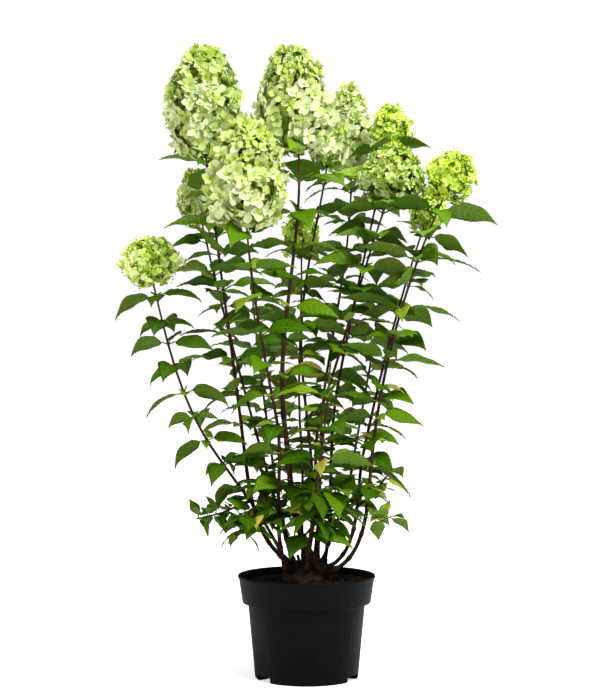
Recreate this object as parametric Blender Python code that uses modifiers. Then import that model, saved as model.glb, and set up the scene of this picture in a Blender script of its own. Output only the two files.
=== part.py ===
"""Panicle hydrangea shrub growing in a black nursery pot.

Metres, +Z up. The origin is the centre of the pot's underside, and the plant's front looks along -Y.
Every cane is a bare bough from the woody stool up to its first leaves, then a leafy shoot, and on
most of them a flower head. Canes follow smooth curves through three named stations, leaves are dealt
along them in opposite pairs by a seeded rule, and florets wind round each head's core.
"""

import math
import random

import bmesh
import bpy
from mathutils import Matrix, Vector
from mathutils.bvhtree import BVHTree

PLANT = "panicle_hydrangea_in_pot"
GAP = 0.0003

# Pot, a round tub with a deep stepped collar and three notches through its foot ring
POT_HEIGHT = 0.208
RIM_RADIUS = 0.140
RIM_BEAD = 0.0022
RIM_BEAD_DROP = 0.006
COLLAR_DEPTH = 0.055
COLLAR_FOOT_RADIUS = 0.1305
WALL_TOP_RADIUS = 0.1185
WALL_FOOT_RADIUS = 0.105
WALL = 0.0022
FOOT_HEIGHT = 0.011
FOOT_WIDTH = 0.022
FLOOR_THICKNESS = 0.003
PAD_RADIUS = 0.020
NOTCH_ANGLES = (-56.0, 63.0, 183.0)
NOTCH_SPAN = 24.0
DRAIN_RADIUS = 0.007
DRAIN_CIRCLE = 0.058
DRAIN_COUNT = 4
POT_SIDES = 28

# Compost, and the woody stool that stands on it
COMPOST_BELOW_RIM = 0.013
COMPOST_TOP = POT_HEIGHT - COMPOST_BELOW_RIM
STOOL_FLARE = 0.054
STOOL_HEIGHT = 0.048
STOOL_SIDES = 9
SPUR_LENGTH = 0.016
OLD_STUBS = 6

# Canes and leaves
BOUGH_STEP = 0.060
SHOOT_STEP = 0.085
TWIG_STEP = 0.040
SQUARE_END = 0.003
TIP_RADIUS = 0.0022
TAPER_POWER = 0.8
TWIG_RADIUS = 0.0014
TWIG_LIFT = 0.18
TWIG_SAG = 0.05
FIRST_PAIR = 0.022
LAST_PAIR = 0.012
LEAF_STEPS = 24
SMALLEST_LEAF = 0.60
LEAF_GROWTH = 0.46
LEAF_PEAK = 0.60
BLADE_FOOT = 0.2
WIDEST_AT = 0.5
BLADE_RATIO = 0.50
ROOT_HALF = 0.0016
FOLD = 0.05
BLADE_THICKNESS = 0.0014
LEAF_CLEARANCE = 0.0012
LEAF_TRIES = 9
TRY_SWING = 0.5
TRY_DIP = 0.35
TRY_LIFT = 0.25
TRY_SHORTER = 0.03
LEAF_FLOOR = POT_HEIGHT + 0.012
SLEEVE = 0.16

# Flower heads: how far the outline tucks in at the foot, how its upper end closes, how much of a head's
# lean comes from its cane, and the florets
FOOT_TUCK = 0.93
CROWN_POWER = 1.8
CROWN_BLUNT = 0.66
CANE_PULL = 0.35
HEAD_FULLNESS = 0.78
FLORET_CLEARANCE = 0.001
FLORET_SPREAD = 1.74
FLORET_ROOT = 0.011
LOWEST_ROOT = 0.08
CORE_SHARE = 0.80
CORE_SIDES = 10
CORE_RINGS = 4
CORE_LIFT = 0.08
CORE_DROP = 0.05
GOLDEN_ANGLE = math.radians(137.5)

# Each cane: three stations, its lean from upright towards +X at each of them in degrees, its radius at
# the foot, how far up it the leaves begin, the space between leaf pairs, the compass turn of the first
# pair (0 looks at the viewer, 90 to the right), leaf length, and how the leaves rise and droop.
CANES = {
    "far_left": dict(foot=(-0.044, -0.015, 0.235), waist=(-0.189, -0.021, 0.463),
                     tip=(-0.312, -0.030, 0.810),
                     leans=(-22, -34, -13), radius=0.0040, leafy_from=0.160, spacing=0.052, turn=80,
                     leaf=0.098, rise=17, droop=84),
    "left_low": dict(foot=(-0.030, 0.015, 0.235), waist=(-0.105, 0.073, 0.494),
                     tip=(-0.227, 0.170, 0.954),
                     leans=(-16, -16, -13), radius=0.0042, leafy_from=0.130, spacing=0.066, turn=10,
                     leaf=0.112, rise=30, droop=66),
    "left_tall": dict(foot=(-0.046, 0.000, 0.241), waist=(-0.126, 0.013, 0.450),
                      tip=(-0.213, 0.050, 1.105),
                      leans=(-54, -7, -7), radius=0.0052, leafy_from=0.130, spacing=0.066, turn=75,
                      leaf=0.114, rise=30, droop=64),
    "front_left": dict(foot=(-0.042, -0.040, 0.226), waist=(-0.061, -0.109, 0.537),
                       tip=(-0.119, -0.200, 0.958),
                       leans=(-18, -11, -2), radius=0.0050, leafy_from=0.100, spacing=0.064, turn=70,
                       leaf=0.112, rise=30, droop=66),
    "front_mid": dict(foot=(0.031, -0.035, 0.222), waist=(-0.043, -0.056, 0.505),
                      tip=(-0.021, -0.100, 1.104),
                      leans=(-44, -8, -8), radius=0.0085, leafy_from=0.095, spacing=0.067, turn=85,
                      leaf=0.114, rise=30, droop=64),
    "mid_back": dict(foot=(-0.007, 0.020, 0.243), waist=(-0.011, 0.062, 0.478),
                     tip=(-0.011, 0.130, 0.876),
                     leans=(-4, -5, -2), radius=0.0036, leafy_from=0.100, spacing=0.074, turn=40,
                     leaf=0.106, rise=32, droop=62),
    "mid_tall": dict(foot=(0.003, 0.005, 0.241), waist=(-0.011, 0.024, 0.675), tip=(0.044, 0.040, 1.056),
                     leans=(12, -1, 8), radius=0.0044, leafy_from=0.150, spacing=0.072, turn=120,
                     leaf=0.11, rise=33, droop=64),
    "right_back": dict(foot=(0.015, 0.035, 0.233), waist=(0.041, 0.124, 0.602),
                       tip=(0.097, 0.230, 1.074),
                       leans=(10, 9, -2), radius=0.0044, leafy_from=0.150, spacing=0.069, turn=160,
                       leaf=0.11, rise=32, droop=66),
    "right_mid": dict(foot=(0.022, -0.004, 0.232), waist=(0.037, -0.026, 0.568),
                      tip=(0.169, -0.020, 0.983),
                      leans=(4, 19, 20), radius=0.0048, leafy_from=0.105, spacing=0.060, turn=95,
                      leaf=0.11, rise=26, droop=60),
    "right_tall": dict(foot=(0.036, 0.015, 0.223), waist=(0.063, 0.058, 0.578),
                       tip=(0.174, 0.120, 1.097),
                       leans=(11, 10, 12), radius=0.0046, leafy_from=0.150, spacing=0.066, turn=60,
                       leaf=0.112, rise=28, droop=60),
    "right_inner": dict(foot=(0.039, -0.005, 0.222), waist=(0.116, 0.028, 0.449),
                        tip=(0.246, 0.090, 0.924),
                        leans=(70, 12, 19), radius=0.0048, leafy_from=0.160, spacing=0.064, turn=130,
                        leaf=0.112, rise=20, droop=52),
    "far_right": dict(foot=(0.050, -0.030, 0.220), waist=(0.127, -0.048, 0.404),
                      tip=(0.276, -0.070, 0.975),
                      leans=(71, 4, 25), radius=0.0052, leafy_from=0.170, spacing=0.052, turn=0,
                      leaf=0.122, rise=19, droop=46),
    "back_left": dict(foot=(-0.024, 0.038, 0.226), waist=(-0.070, 0.130, 0.420),
                      tip=(-0.120, 0.270, 0.800),
                      leans=(-20, -9, -6), radius=0.0040, leafy_from=0.120, spacing=0.068, turn=20,
                      leaf=0.11, rise=30, droop=66),
    "back_right": dict(foot=(0.030, 0.040, 0.226), waist=(0.100, 0.150, 0.430),
                       tip=(0.160, 0.250, 0.780),
                       leans=(24, 10, 6), radius=0.0040, leafy_from=0.120, spacing=0.072, turn=50,
                       leaf=0.11, rise=30, droop=66),
    "front_low": dict(foot=(0.000, -0.048, 0.224), waist=(0.020, -0.120, 0.400),
                      tip=(0.045, -0.200, 0.640),
                      leans=(4, 8, 4), radius=0.0038, leafy_from=0.090, spacing=0.064, turn=100,
                      leaf=0.112, rise=26, droop=60),
}

# Short twigs with smaller leaves that leave a bough low down: the bough, how far up it in metres, the
# compass turn and rise they leave it with, their length, their leaves' length, and how much further off
# the bark they start than the gap between neighbours.
SIDE_TWIGS = {
    "low_left_twig": dict(cane="far_left", at=0.145, turn=-80, rise=8, length=0.118, leaf=0.060,
                          off=0.0004),
    "low_left_spray": dict(cane="left_tall", at=0.112, turn=20, rise=40, length=0.110, leaf=0.075,
                           off=0.0006),
    "low_left_sprig": dict(cane="far_left", at=0.090, turn=-40, rise=2, length=0.098, leaf=0.060,
                           off=0.0004),
    "low_front_twig": dict(cane="front_left", at=0.085, turn=-60, rise=20, length=0.070,
                           leaf=0.100, off=-0.0002),
    "low_centre_twig": dict(cane="front_mid", at=0.076, turn=34, rise=28, length=0.080, leaf=0.110,
                            off=0.0011),
    "low_right_twig": dict(cane="right_inner", at=0.146, turn=70, rise=42, length=0.095,
                           leaf=0.056, off=0.0000),
    "low_right_spray": dict(cane="far_right", at=0.135, turn=50, rise=5, length=0.060, leaf=0.066,
                            off=0.0002),
    "low_right_front": dict(cane="far_right", at=0.155, turn=-70, rise=10, length=0.080,
                            leaf=0.100, off=0.0010),
    "low_mid_left_twig": dict(cane="left_low", at=0.105, turn=-25, rise=22, length=0.080,
                              leaf=0.080, off=0.0),
    "low_mid_right_twig": dict(cane="right_mid", at=0.088, turn=25, rise=16, length=0.090,
                               leaf=0.085, off=0.0004),
    "low_inner_twig": dict(cane="mid_tall", at=0.085, turn=-10, rise=24, length=0.080, leaf=0.080,
                           off=0.0002),
    "low_back_twig": dict(cane="back_left", at=0.104, turn=-150, rise=20, length=0.110, leaf=0.078,
                          off=0.0001),
}

# Each flower head: the cane it ends, its length and greatest radius, how far up it is widest, its lean
# towards +X in degrees, how much of it hangs below its cane's tip, and the width of its florets.
HEADS = {
    "head_top_left": dict(cane="left_tall", length=0.244, radius=0.084, widest=0.42, lean=3, hang=0.15,
                          floret=0.034),
    "head_top_centre": dict(cane="front_mid", length=0.224, radius=0.084, widest=0.26, lean=-3, hang=0.20,
                            floret=0.034),
    "head_front": dict(cane="front_left", length=0.216, radius=0.086, widest=0.26, lean=3, hang=0.22,
                       floret=0.034),
    "head_behind_left": dict(cane="left_low", length=0.122, radius=0.050, widest=0.36, lean=-4, hang=0.10,
                             floret=0.030),
    "head_behind_centre": dict(cane="mid_tall", length=0.106, radius=0.044, widest=0.40, lean=6, hang=0.10,
                               floret=0.030),
    "head_back_right": dict(cane="right_back", length=0.208, radius=0.056, widest=0.32, lean=-2, hang=0.10,
                            floret=0.032),
    "head_inner": dict(cane="mid_back", length=0.098, radius=0.042, widest=0.42, lean=-2, hang=0.06,
                       floret=0.028),
    "head_right_top": dict(cane="right_tall", length=0.100, radius=0.046, widest=0.46, lean=4, hang=0.06,
                           floret=0.026),
    "head_right": dict(cane="right_mid", length=0.122, radius=0.072, widest=0.32, lean=6, hang=0.12,
                       floret=0.030),
    "head_right_buds": dict(cane="right_inner", length=0.084, radius=0.040, widest=0.46, lean=14, hang=0.06,
                            floret=0.020),
    "head_far_right": dict(cane="far_right", length=0.102, radius=0.053, widest=0.50, lean=16, hang=0.06,
                           floret=0.026),
    "head_far_left": dict(cane="far_left", length=0.100, radius=0.064, widest=0.50, lean=-6, hang=0.08,
                          floret=0.026),
}

FINISHES = {
    "pot": ((0.014, 0.014, 0.016), 0.52),
    "compost": ((0.012, 0.008, 0.006), 0.95),
    "bark": ((0.050, 0.024, 0.015), 0.75),
    "foliage": ((0.050, 0.160, 0.018), 0.55),
    "cream_blossom": ((0.640, 0.760, 0.330), 0.65),
    "lime_blossom": ((0.330, 0.560, 0.060), 0.65),
}
LIME_HEADS = ("head_right_top", "head_right_buds", "head_far_right", "head_far_left", "head_inner")


def clear_scene():
    for obj in list(bpy.data.objects):
        bpy.data.objects.remove(obj, do_unlink=True)


def new_collection(name):
    collection = bpy.data.collections.new(name)
    bpy.context.scene.collection.children.link(collection)
    return collection


def finish_of(slot):
    """The part's own material, made once for each finish."""
    if slot in bpy.data.materials:
        return bpy.data.materials[slot]
    colour, roughness = FINISHES[slot]
    material = bpy.data.materials.new(slot)
    material.use_nodes = True
    shader = material.node_tree.nodes["Principled BSDF"]
    shader.inputs["Base Color"].default_value = (*colour, 1.0)
    shader.inputs["Roughness"].default_value = roughness
    shader.inputs["Metallic"].default_value = 0.0
    return material


def mesh_object(name, mesh, collection, slot):
    obj = bpy.data.objects.new(name, mesh)
    collection.objects.link(obj)
    if not mesh.materials:
        mesh.materials.append(finish_of(slot))
    return obj


def face_outwards(shape):
    """Turns a closed shape's faces out: they agree first, and its volume then tells which way they look."""
    bmesh.ops.recalc_face_normals(shape, faces=shape.faces)
    if shape.calc_volume(signed=True) < 0.0:
        bmesh.ops.reverse_faces(shape, faces=shape.faces)


def as_mesh(obj, collection, slot):
    """Replaces a curve, or an object with modifiers, by the mesh it evaluates to, with its caps welded."""
    bpy.context.view_layer.update()
    evaluated = obj.evaluated_get(bpy.context.evaluated_depsgraph_get())
    mesh = bpy.data.meshes.new_from_object(evaluated)
    welded = bmesh.new()
    welded.from_mesh(mesh)
    bmesh.ops.remove_doubles(welded, verts=welded.verts, dist=1e-5)
    face_outwards(welded)
    welded.to_mesh(mesh)
    welded.free()
    name = obj.name
    place = obj.matrix_world.copy()
    bpy.data.objects.remove(obj, do_unlink=True)
    solid = mesh_object(name, mesh, collection, slot)
    solid.matrix_world = place
    return solid


def turned(name, profile, sides, collection, slot):
    """Turns a profile of (radius, height) points round Z: up the inside, then down the outer side."""
    mesh = bpy.data.meshes.new(name)
    points = [(radius, 0.0, height) for radius, height in profile]
    edges = [(i, i + 1) for i in range(len(points) - 1)]
    mesh.from_pydata(points, edges, [])
    obj = mesh_object(name, mesh, collection, slot)
    screw = obj.modifiers.new("Turn", "SCREW")
    screw.angle = 2.0 * math.pi
    screw.steps = sides
    screw.render_steps = sides
    screw.use_merge_vertices = True
    screw.merge_threshold = 0.00001
    screw.use_normal_calculate = True
    return obj


def tube(name, points, radii, collection, slot, resolution=1):
    """A tapering limb: a poly curve with a bevel, whose points carry the radii."""
    curve = bpy.data.curves.new(name, "CURVE")
    curve.dimensions = "3D"
    curve.bevel_depth = 1.0
    curve.bevel_resolution = resolution
    curve.use_fill_caps = True
    spline = curve.splines.new("POLY")
    spline.points.add(len(points) - 1)
    for knot, point, radius in zip(spline.points, points, radii):
        knot.co = (*point, 1.0)
        knot.radius = radius
    obj = bpy.data.objects.new(name, curve)
    collection.objects.link(obj)
    return as_mesh(obj, collection, slot)


def fuse(base, group):
    """Joins a collection of closed pieces to the base in one union, and keeps the one body it makes."""
    if not group.objects:
        bpy.data.collections.remove(group)
        return base
    join = base.modifiers.new("Join", "BOOLEAN")
    join.operation = "UNION"
    join.operand_type = "COLLECTION"
    join.collection = group
    join.solver = "MANIFOLD"
    bpy.context.view_layer.update()
    evaluated = base.evaluated_get(bpy.context.evaluated_depsgraph_get())
    joined = bpy.data.meshes.new_from_object(evaluated)
    base.modifiers.remove(join)
    base.data = joined
    for piece in list(group.objects):
        bpy.data.objects.remove(piece, do_unlink=True)
    bpy.data.collections.remove(group)
    keep_largest_body(base.data)
    return base


def keep_largest_body(mesh):
    """Fills hollows that the union sealed and drops loose scraps: only the largest shell stays."""
    shells = bmesh.new()
    shells.from_mesh(mesh)
    bmesh.ops.triangulate(shells, faces=shells.faces)
    waiting = set(shells.faces)
    found = []
    while waiting:
        shell = [waiting.pop()]
        for face in shell:
            for edge in face.edges:
                for neighbour in edge.link_faces:
                    if neighbour in waiting:
                        waiting.remove(neighbour)
                        shell.append(neighbour)
        found.append(shell)
    found.sort(key=len)
    scraps = [face for shell in found[:-1] for face in shell]
    bmesh.ops.delete(shells, geom=scraps, context="FACES")
    shells.to_mesh(mesh)
    shells.free()


def lean_direction(lean, drift):
    """A unit vector that leans from upright by so many degrees towards +X and drifts along Y."""
    angle = math.radians(lean)
    return Vector((math.sin(angle), drift, math.cos(angle))).normalized()


def hermite(start, end, start_pull, end_pull, t):
    return (
        (2 * t**3 - 3 * t**2 + 1) * start
        + (t**3 - 2 * t**2 + t) * start_pull
        + (3 * t**2 - 2 * t**3) * end
        + (t**3 - t**2) * end_pull
    )


class Path:
    """A smooth line that is read by its length."""

    def __init__(self, points):
        self.points = points
        self.marks = [0.0]
        for a, b in zip(points, points[1:]):
            self.marks.append(self.marks[-1] + (b - a).length)
        self.length = self.marks[-1]

    def at(self, s):
        s = min(max(s, 0.0), self.length)
        i = 0
        while i < len(self.marks) - 2 and self.marks[i + 1] < s:
            i += 1
        share = (s - self.marks[i]) / (self.marks[i + 1] - self.marks[i])
        return self.points[i].lerp(self.points[i + 1], share)

    def direction(self, s):
        return (self.at(s + 0.004) - self.at(s - 0.004)).normalized()


def cane_path(cane):
    foot, waist, tip = (Vector(cane[key]) for key in ("foot", "waist", "tip"))
    drift = (tip.y - foot.y) / (tip - foot).length
    pulls = [lean_direction(lean, drift) for lean in cane["leans"]]
    points = []
    for start, end, pull, end_pull in ((foot, waist, pulls[0], pulls[1]), (waist, tip, pulls[1], pulls[2])):
        reach = (end - start).length
        points += [hermite(start, end, pull * reach, end_pull * reach, i / 40) for i in range(40)]
    return Path(points + [tip])


def cane_radius(cane, path, s):
    return cane["radius"] + (TIP_RADIUS - cane["radius"]) * (s / path.length) ** TAPER_POWER


def stations(start, end, step):
    count = max(2, round((end - start) / step) + 1)
    return [start + (end - start) * i / (count - 1) for i in range(count)]


def limb_between(name, cane, path, start, end, step, collection, slot, resolution):
    """A length of a cane, cut square at both ends, so that it meets the next length face to face."""
    marks = stations(start, end, step)
    marks = [start, start + SQUARE_END] + marks[1:-1] + [end - SQUARE_END, end]
    points = [path.at(s) for s in marks]
    points[1] = points[0] + path.direction(start) * SQUARE_END
    points[-2] = points[-1] - path.direction(end) * SQUARE_END
    radii = [cane_radius(cane, path, s) for s in marks]
    return tube(name, points, radii, collection, slot, resolution)


def make_pot(parts, cutters):
    """The tub's shell, with its stepped collar, foot ring, drain holes and a flat pad in the middle."""
    step_height = POT_HEIGHT - COLLAR_DEPTH
    floor_top = FOOT_HEIGHT + FLOOR_THICKNESS
    profile = [
        (0.0, floor_top),
        (WALL_FOOT_RADIUS - WALL, floor_top),
        (WALL_TOP_RADIUS - WALL, step_height - 0.006),
        (COLLAR_FOOT_RADIUS - WALL, step_height + WALL),
        (RIM_RADIUS - WALL - RIM_BEAD, POT_HEIGHT - 0.001),
        (RIM_RADIUS - WALL - 0.001, POT_HEIGHT),
        (RIM_RADIUS - 0.0008, POT_HEIGHT),
        (RIM_RADIUS, POT_HEIGHT - 0.0012),
        (RIM_RADIUS, POT_HEIGHT - RIM_BEAD_DROP + 0.001),
        (RIM_RADIUS - RIM_BEAD, POT_HEIGHT - RIM_BEAD_DROP),
        (COLLAR_FOOT_RADIUS, step_height),
        (WALL_TOP_RADIUS + 0.001, step_height - 0.003),
        (WALL_TOP_RADIUS, step_height - 0.008),
        (WALL_FOOT_RADIUS, 0.002),
        (WALL_FOOT_RADIUS - 0.002, 0.0),
        (WALL_FOOT_RADIUS - FOOT_WIDTH, 0.0),
        (WALL_FOOT_RADIUS - FOOT_WIDTH, FOOT_HEIGHT),
        (PAD_RADIUS, FOOT_HEIGHT),
        (PAD_RADIUS, 0.0),
        (0.0, 0.0),
    ]
    pot = turned("pot", profile, POT_SIDES, parts, "pot")
    for number, angle in enumerate(NOTCH_ANGLES):
        add_cut(pot, notch_cutter(number, math.radians(angle - 90.0), cutters))
    for number in range(DRAIN_COUNT):
        add_cut(pot, drain_cutter(number, math.radians(360.0 * (number + 0.25) / DRAIN_COUNT), cutters))
    return pot


def notch_cutter(number, angle, cutters):
    """A wedge that opens the foot ring, as wide as its span at the wall."""
    width = 2.0 * WALL_FOOT_RADIUS * math.sin(math.radians(NOTCH_SPAN / 2))
    bpy.ops.mesh.primitive_cube_add(size=1.0)
    cutter = bpy.context.object
    cutter.scale = (FOOT_WIDTH + 0.02, width, 2 * FOOT_HEIGHT - 0.0006)
    bpy.ops.object.transform_apply(location=False, rotation=False, scale=True)
    reach = WALL_FOOT_RADIUS - FOOT_WIDTH / 2
    cutter.location = (reach * math.cos(angle), reach * math.sin(angle), 0.0)
    cutter.rotation_euler = (0.0, 0.0, angle)
    return as_cutter(cutter, f"notch_cutter_{number}", cutters)


def drain_cutter(number, angle, cutters):
    bpy.ops.mesh.primitive_cylinder_add(vertices=8, radius=DRAIN_RADIUS, depth=4 * FLOOR_THICKNESS)
    cutter = bpy.context.object
    place = (DRAIN_CIRCLE * math.cos(angle), DRAIN_CIRCLE * math.sin(angle))
    cutter.location = (*place, FOOT_HEIGHT + FLOOR_THICKNESS / 2)
    return as_cutter(cutter, f"drain_cutter_{number}", cutters)


def as_cutter(obj, name, cutters):
    obj.name = name
    for collection in list(obj.users_collection):
        collection.objects.unlink(obj)
    cutters.objects.link(obj)
    obj.hide_render = True
    obj.display_type = "WIRE"
    return obj


def add_cut(obj, cutter):
    cut = obj.modifiers.new(cutter.name, "BOOLEAN")
    cut.operation = "DIFFERENCE"
    cut.object = cutter


def make_compost(parts):
    """The compost that fills the pot, a hair inside its shell, lying a little higher inwards."""
    step_height = POT_HEIGHT - COLLAR_DEPTH
    floor_top = FOOT_HEIGHT + FLOOR_THICKNESS
    clear = 2 * GAP
    edge_height = COMPOST_TOP - 0.003
    collar_share = (edge_height - step_height - WALL) / (COLLAR_DEPTH - 0.001 - WALL)
    rim_inside = RIM_RADIUS - WALL - RIM_BEAD
    collar_inside = COLLAR_FOOT_RADIUS - WALL
    profile = [
        (0.0, COMPOST_TOP),
        (STOOL_FLARE + 0.01, COMPOST_TOP),
        (collar_inside + (rim_inside - collar_inside) * collar_share - clear, edge_height),
        (collar_inside - clear, step_height + WALL + clear),
        (WALL_TOP_RADIUS - WALL - clear, step_height - 0.006 + clear),
        (WALL_FOOT_RADIUS - WALL - clear, floor_top + GAP),
        (0.0, floor_top + GAP),
    ]
    return turned("compost", profile, POT_SIDES, parts, "compost")


def make_stool(parts, paths, space):
    """The woody foot: a flared mound cut flat at the compost, with a spur for each cane and old stubs."""
    base = COMPOST_TOP + GAP
    profile = [
        (0.0, base + STOOL_HEIGHT),
        (0.30 * STOOL_FLARE, base + 0.94 * STOOL_HEIGHT),
        (0.58 * STOOL_FLARE, base + 0.66 * STOOL_HEIGHT),
        (0.78 * STOOL_FLARE, base + 0.28 * STOOL_HEIGHT),
        (STOOL_FLARE, base + 0.004),
        (STOOL_FLARE, base),
        (0.0, base),
    ]
    stool = as_mesh(turned("stool", profile, STOOL_SIDES, parts, "bark"), parts, "bark")
    spurs = new_collection("stool_spurs")
    for name, path in paths.items():
        cane = CANES[name]
        foot = path.at(0.0)
        root = Vector((0.45 * foot.x, 0.45 * foot.y, base + 0.3 * STOOL_HEIGHT))
        end = path.at(SPUR_LENGTH)
        ends = [root, foot, end - path.direction(SPUR_LENGTH) * SQUARE_END, end]
        end_radius = cane_radius(cane, path, SPUR_LENGTH)
        swell = [1.9 * cane["radius"], 1.45 * cane["radius"], end_radius, end_radius]
        tube(f"spur_{name}", ends, swell, spurs, "bark", 0)
    add_old_stubs(spurs, base, space)
    return fuse(stool, spurs)


def add_old_stubs(spurs, base, space):
    """Pruned stubs that lean out of the mound wherever no bough is in their way."""
    rule = random.Random("old stubs")
    for number in range(OLD_STUBS):
        angle = math.radians(360.0 * number / OLD_STUBS + rule.uniform(-14, 14))
        out = Vector((math.cos(angle), math.sin(angle), rule.uniform(0.9, 1.7))).normalized()
        root = Vector((0.018 * math.cos(angle), 0.018 * math.sin(angle), base + 0.4 * STOOL_HEIGHT))
        length = rule.uniform(0.026, 0.036)
        radius = rule.uniform(0.0036, 0.0058)
        stub = tube(f"stub_{number}", [root, root + out * length], [radius, 0.85 * radius], spurs, "bark", 0)
        if not space.is_free(stub.data, "stool", GAP):
            bpy.data.objects.remove(stub, do_unlink=True)


def make_boughs(parts, paths):
    """The bare lower length of each cane, from its spur to where it enters its leaves."""
    boughs = []
    for name, path in paths.items():
        cane = CANES[name]
        start = SPUR_LENGTH + GAP
        end = cane["leafy_from"]
        boughs.append(limb_between(f"bough_{name}", cane, path, start, end, BOUGH_STEP, parts, "bark", 1))
    return boughs


def head_radius(head, share):
    """The head's outline: its radius at a share of its length, domed below and drawn to a blunt tip."""
    widest = head["widest"]
    if share < widest:
        return head["radius"] * math.sqrt(max(0.0, 1.0 - (FOOT_TUCK * (widest - share) / widest) ** 2))
    return head["radius"] * max(0.0, 1.0 - ((share - widest) / (1.0 - widest)) ** CROWN_POWER) ** CROWN_BLUNT


def head_frame(head, path):
    """Where a head stands: at its cane's tip, along a direction between the cane's own and its lean."""
    end = path.at(path.length)
    along = path.direction(path.length)
    up = (lean_direction(head["lean"], 0.0) + CANE_PULL * along).normalized()
    turn = Vector((0.0, 0.0, 1.0)).rotation_difference(up)
    return end + along * GAP, along, turn


def florets(name, head):
    """Where florets sit round a head, in a golden-angle spiral: share, angle, tip, size and spin."""
    rule = random.Random(name)
    side = head["floret"] * FLORET_SPREAD
    area = 2.0 * math.pi * HEAD_FULLNESS * head["radius"] * head["length"]
    count = int(area / side**2)
    dealt = []
    for number in range(count):
        share = 0.02 + 0.96 * (number + 0.5) / count
        share += rule.uniform(-0.012, 0.012)
        angle = number * GOLDEN_ANGLE + rule.uniform(-0.15, 0.15)
        tip = rule.uniform(-0.45, 0.45)
        size = rule.uniform(0.90, 1.06)
        dealt.append((share, angle, tip, size, rule.uniform(0.0, math.pi / 2)))
    return dealt


def floret_solid(name, root, face, normal, width, spin, collection, slot):
    """One floret with its stalk: a four-sided cone, open face outwards, whose point is sunk in the core."""
    depth = (face - root).length
    shape = bmesh.new()
    bmesh.ops.create_cone(shape, cap_ends=True, segments=4, radius1=0.0, radius2=width * 0.62, depth=depth)
    turn = Vector((0.0, 0.0, 1.0)).rotation_difference((face - root).normalized())
    tilt = Vector((0.0, 0.0, 1.0)).rotation_difference(normal)
    spun = Matrix.Rotation(spin, 3, "Z")
    for vertex in shape.verts:
        if vertex.co.z > 0.0:
            vertex.co = face + tilt @ (spun @ Vector((vertex.co.x, vertex.co.y, 0.0)))
        else:
            vertex.co = root + turn @ Vector((vertex.co.x, vertex.co.y, 0.0))
    mesh = bpy.data.meshes.new(name)
    face_outwards(shape)
    shape.to_mesh(mesh)
    shape.free()
    return mesh_object(name, mesh, collection, slot)


def head_core_point(head, share):
    """A point of the core's profile: the outline drawn in all round, and closed above the cane's tip."""
    rise = CORE_LIFT + (1.0 - head["hang"] - CORE_LIFT - CORE_DROP) * share
    return CORE_SHARE * head_radius(head, head["hang"] + rise), rise * head["length"]


def core_share(head, share):
    """How far up the core a floret is rooted: level with it, or at the core's foot if it hangs below."""
    rise = (share - head["hang"] - CORE_LIFT) / (1.0 - head["hang"] - CORE_LIFT - CORE_DROP)
    return min(1.0, max(LOWEST_ROOT, rise))


def make_head(name, head, path, parts, space):
    """A flower head: a lean core on a short stalk, with florets standing out of it, fused into one."""
    slot = "lime_blossom" if name in LIME_HEADS else "cream_blossom"
    base, along, turn = head_frame(head, path)
    place = Matrix.Translation(base) @ turn.to_matrix().to_4x4()
    shares = [1.0 - (ring / CORE_RINGS) ** 1.3 for ring in range(CORE_RINGS + 1)]
    profile = [head_core_point(head, share) for share in shares]
    profile[0] = (0.0, profile[0][1])
    profile.append((0.0, profile[-1][1]))
    core = turned(name, profile, CORE_SIDES, parts, slot)
    core.matrix_world = place
    core = as_mesh(core, parts, slot)
    core.data.transform(place)
    core.matrix_world = Matrix.Identity(4)
    pieces = new_collection(name + "_pieces")
    stalk_top = place @ Vector((0.0, 0.0, 0.45 * head["length"]))
    stalk = [base, base + along * SQUARE_END, stalk_top]
    tube(name + "_stalk", stalk, [TIP_RADIUS] * 3, pieces, slot, 0)
    for number, (share, angle, tip, size, spin) in enumerate(florets(name, head)):
        radius = head_radius(head, share)
        slope = (head_radius(head, share + 0.03) - head_radius(head, share - 0.03)) / (0.06 * head["length"])
        round_to = Vector((math.cos(angle), math.sin(angle), 0.0))
        normal = (round_to - Vector((0.0, 0.0, slope))).normalized()
        height = (share - head["hang"]) * head["length"]
        face = round_to * radius * 0.97 * size + Vector((0.0, 0.0, height))
        core_radius, core_height = head_core_point(head, core_share(head, share))
        root = round_to * max(0.0, core_radius - FLORET_ROOT) + Vector((0.0, 0.0, core_height))
        normal = (normal + Vector((0.0, 0.0, tip))).normalized()
        outer = place @ face
        inner = place @ root
        facing = (turn @ normal).normalized()
        piece = floret_solid(f"floret_{number}", inner, outer, facing, head["floret"], spin, pieces, slot)
        if not space.is_free(piece.data, name, FLORET_CLEARANCE):
            bpy.data.objects.remove(piece, do_unlink=True)
    solid = fuse(core, pieces)
    space.hold(solid.data, name)
    return solid


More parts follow.
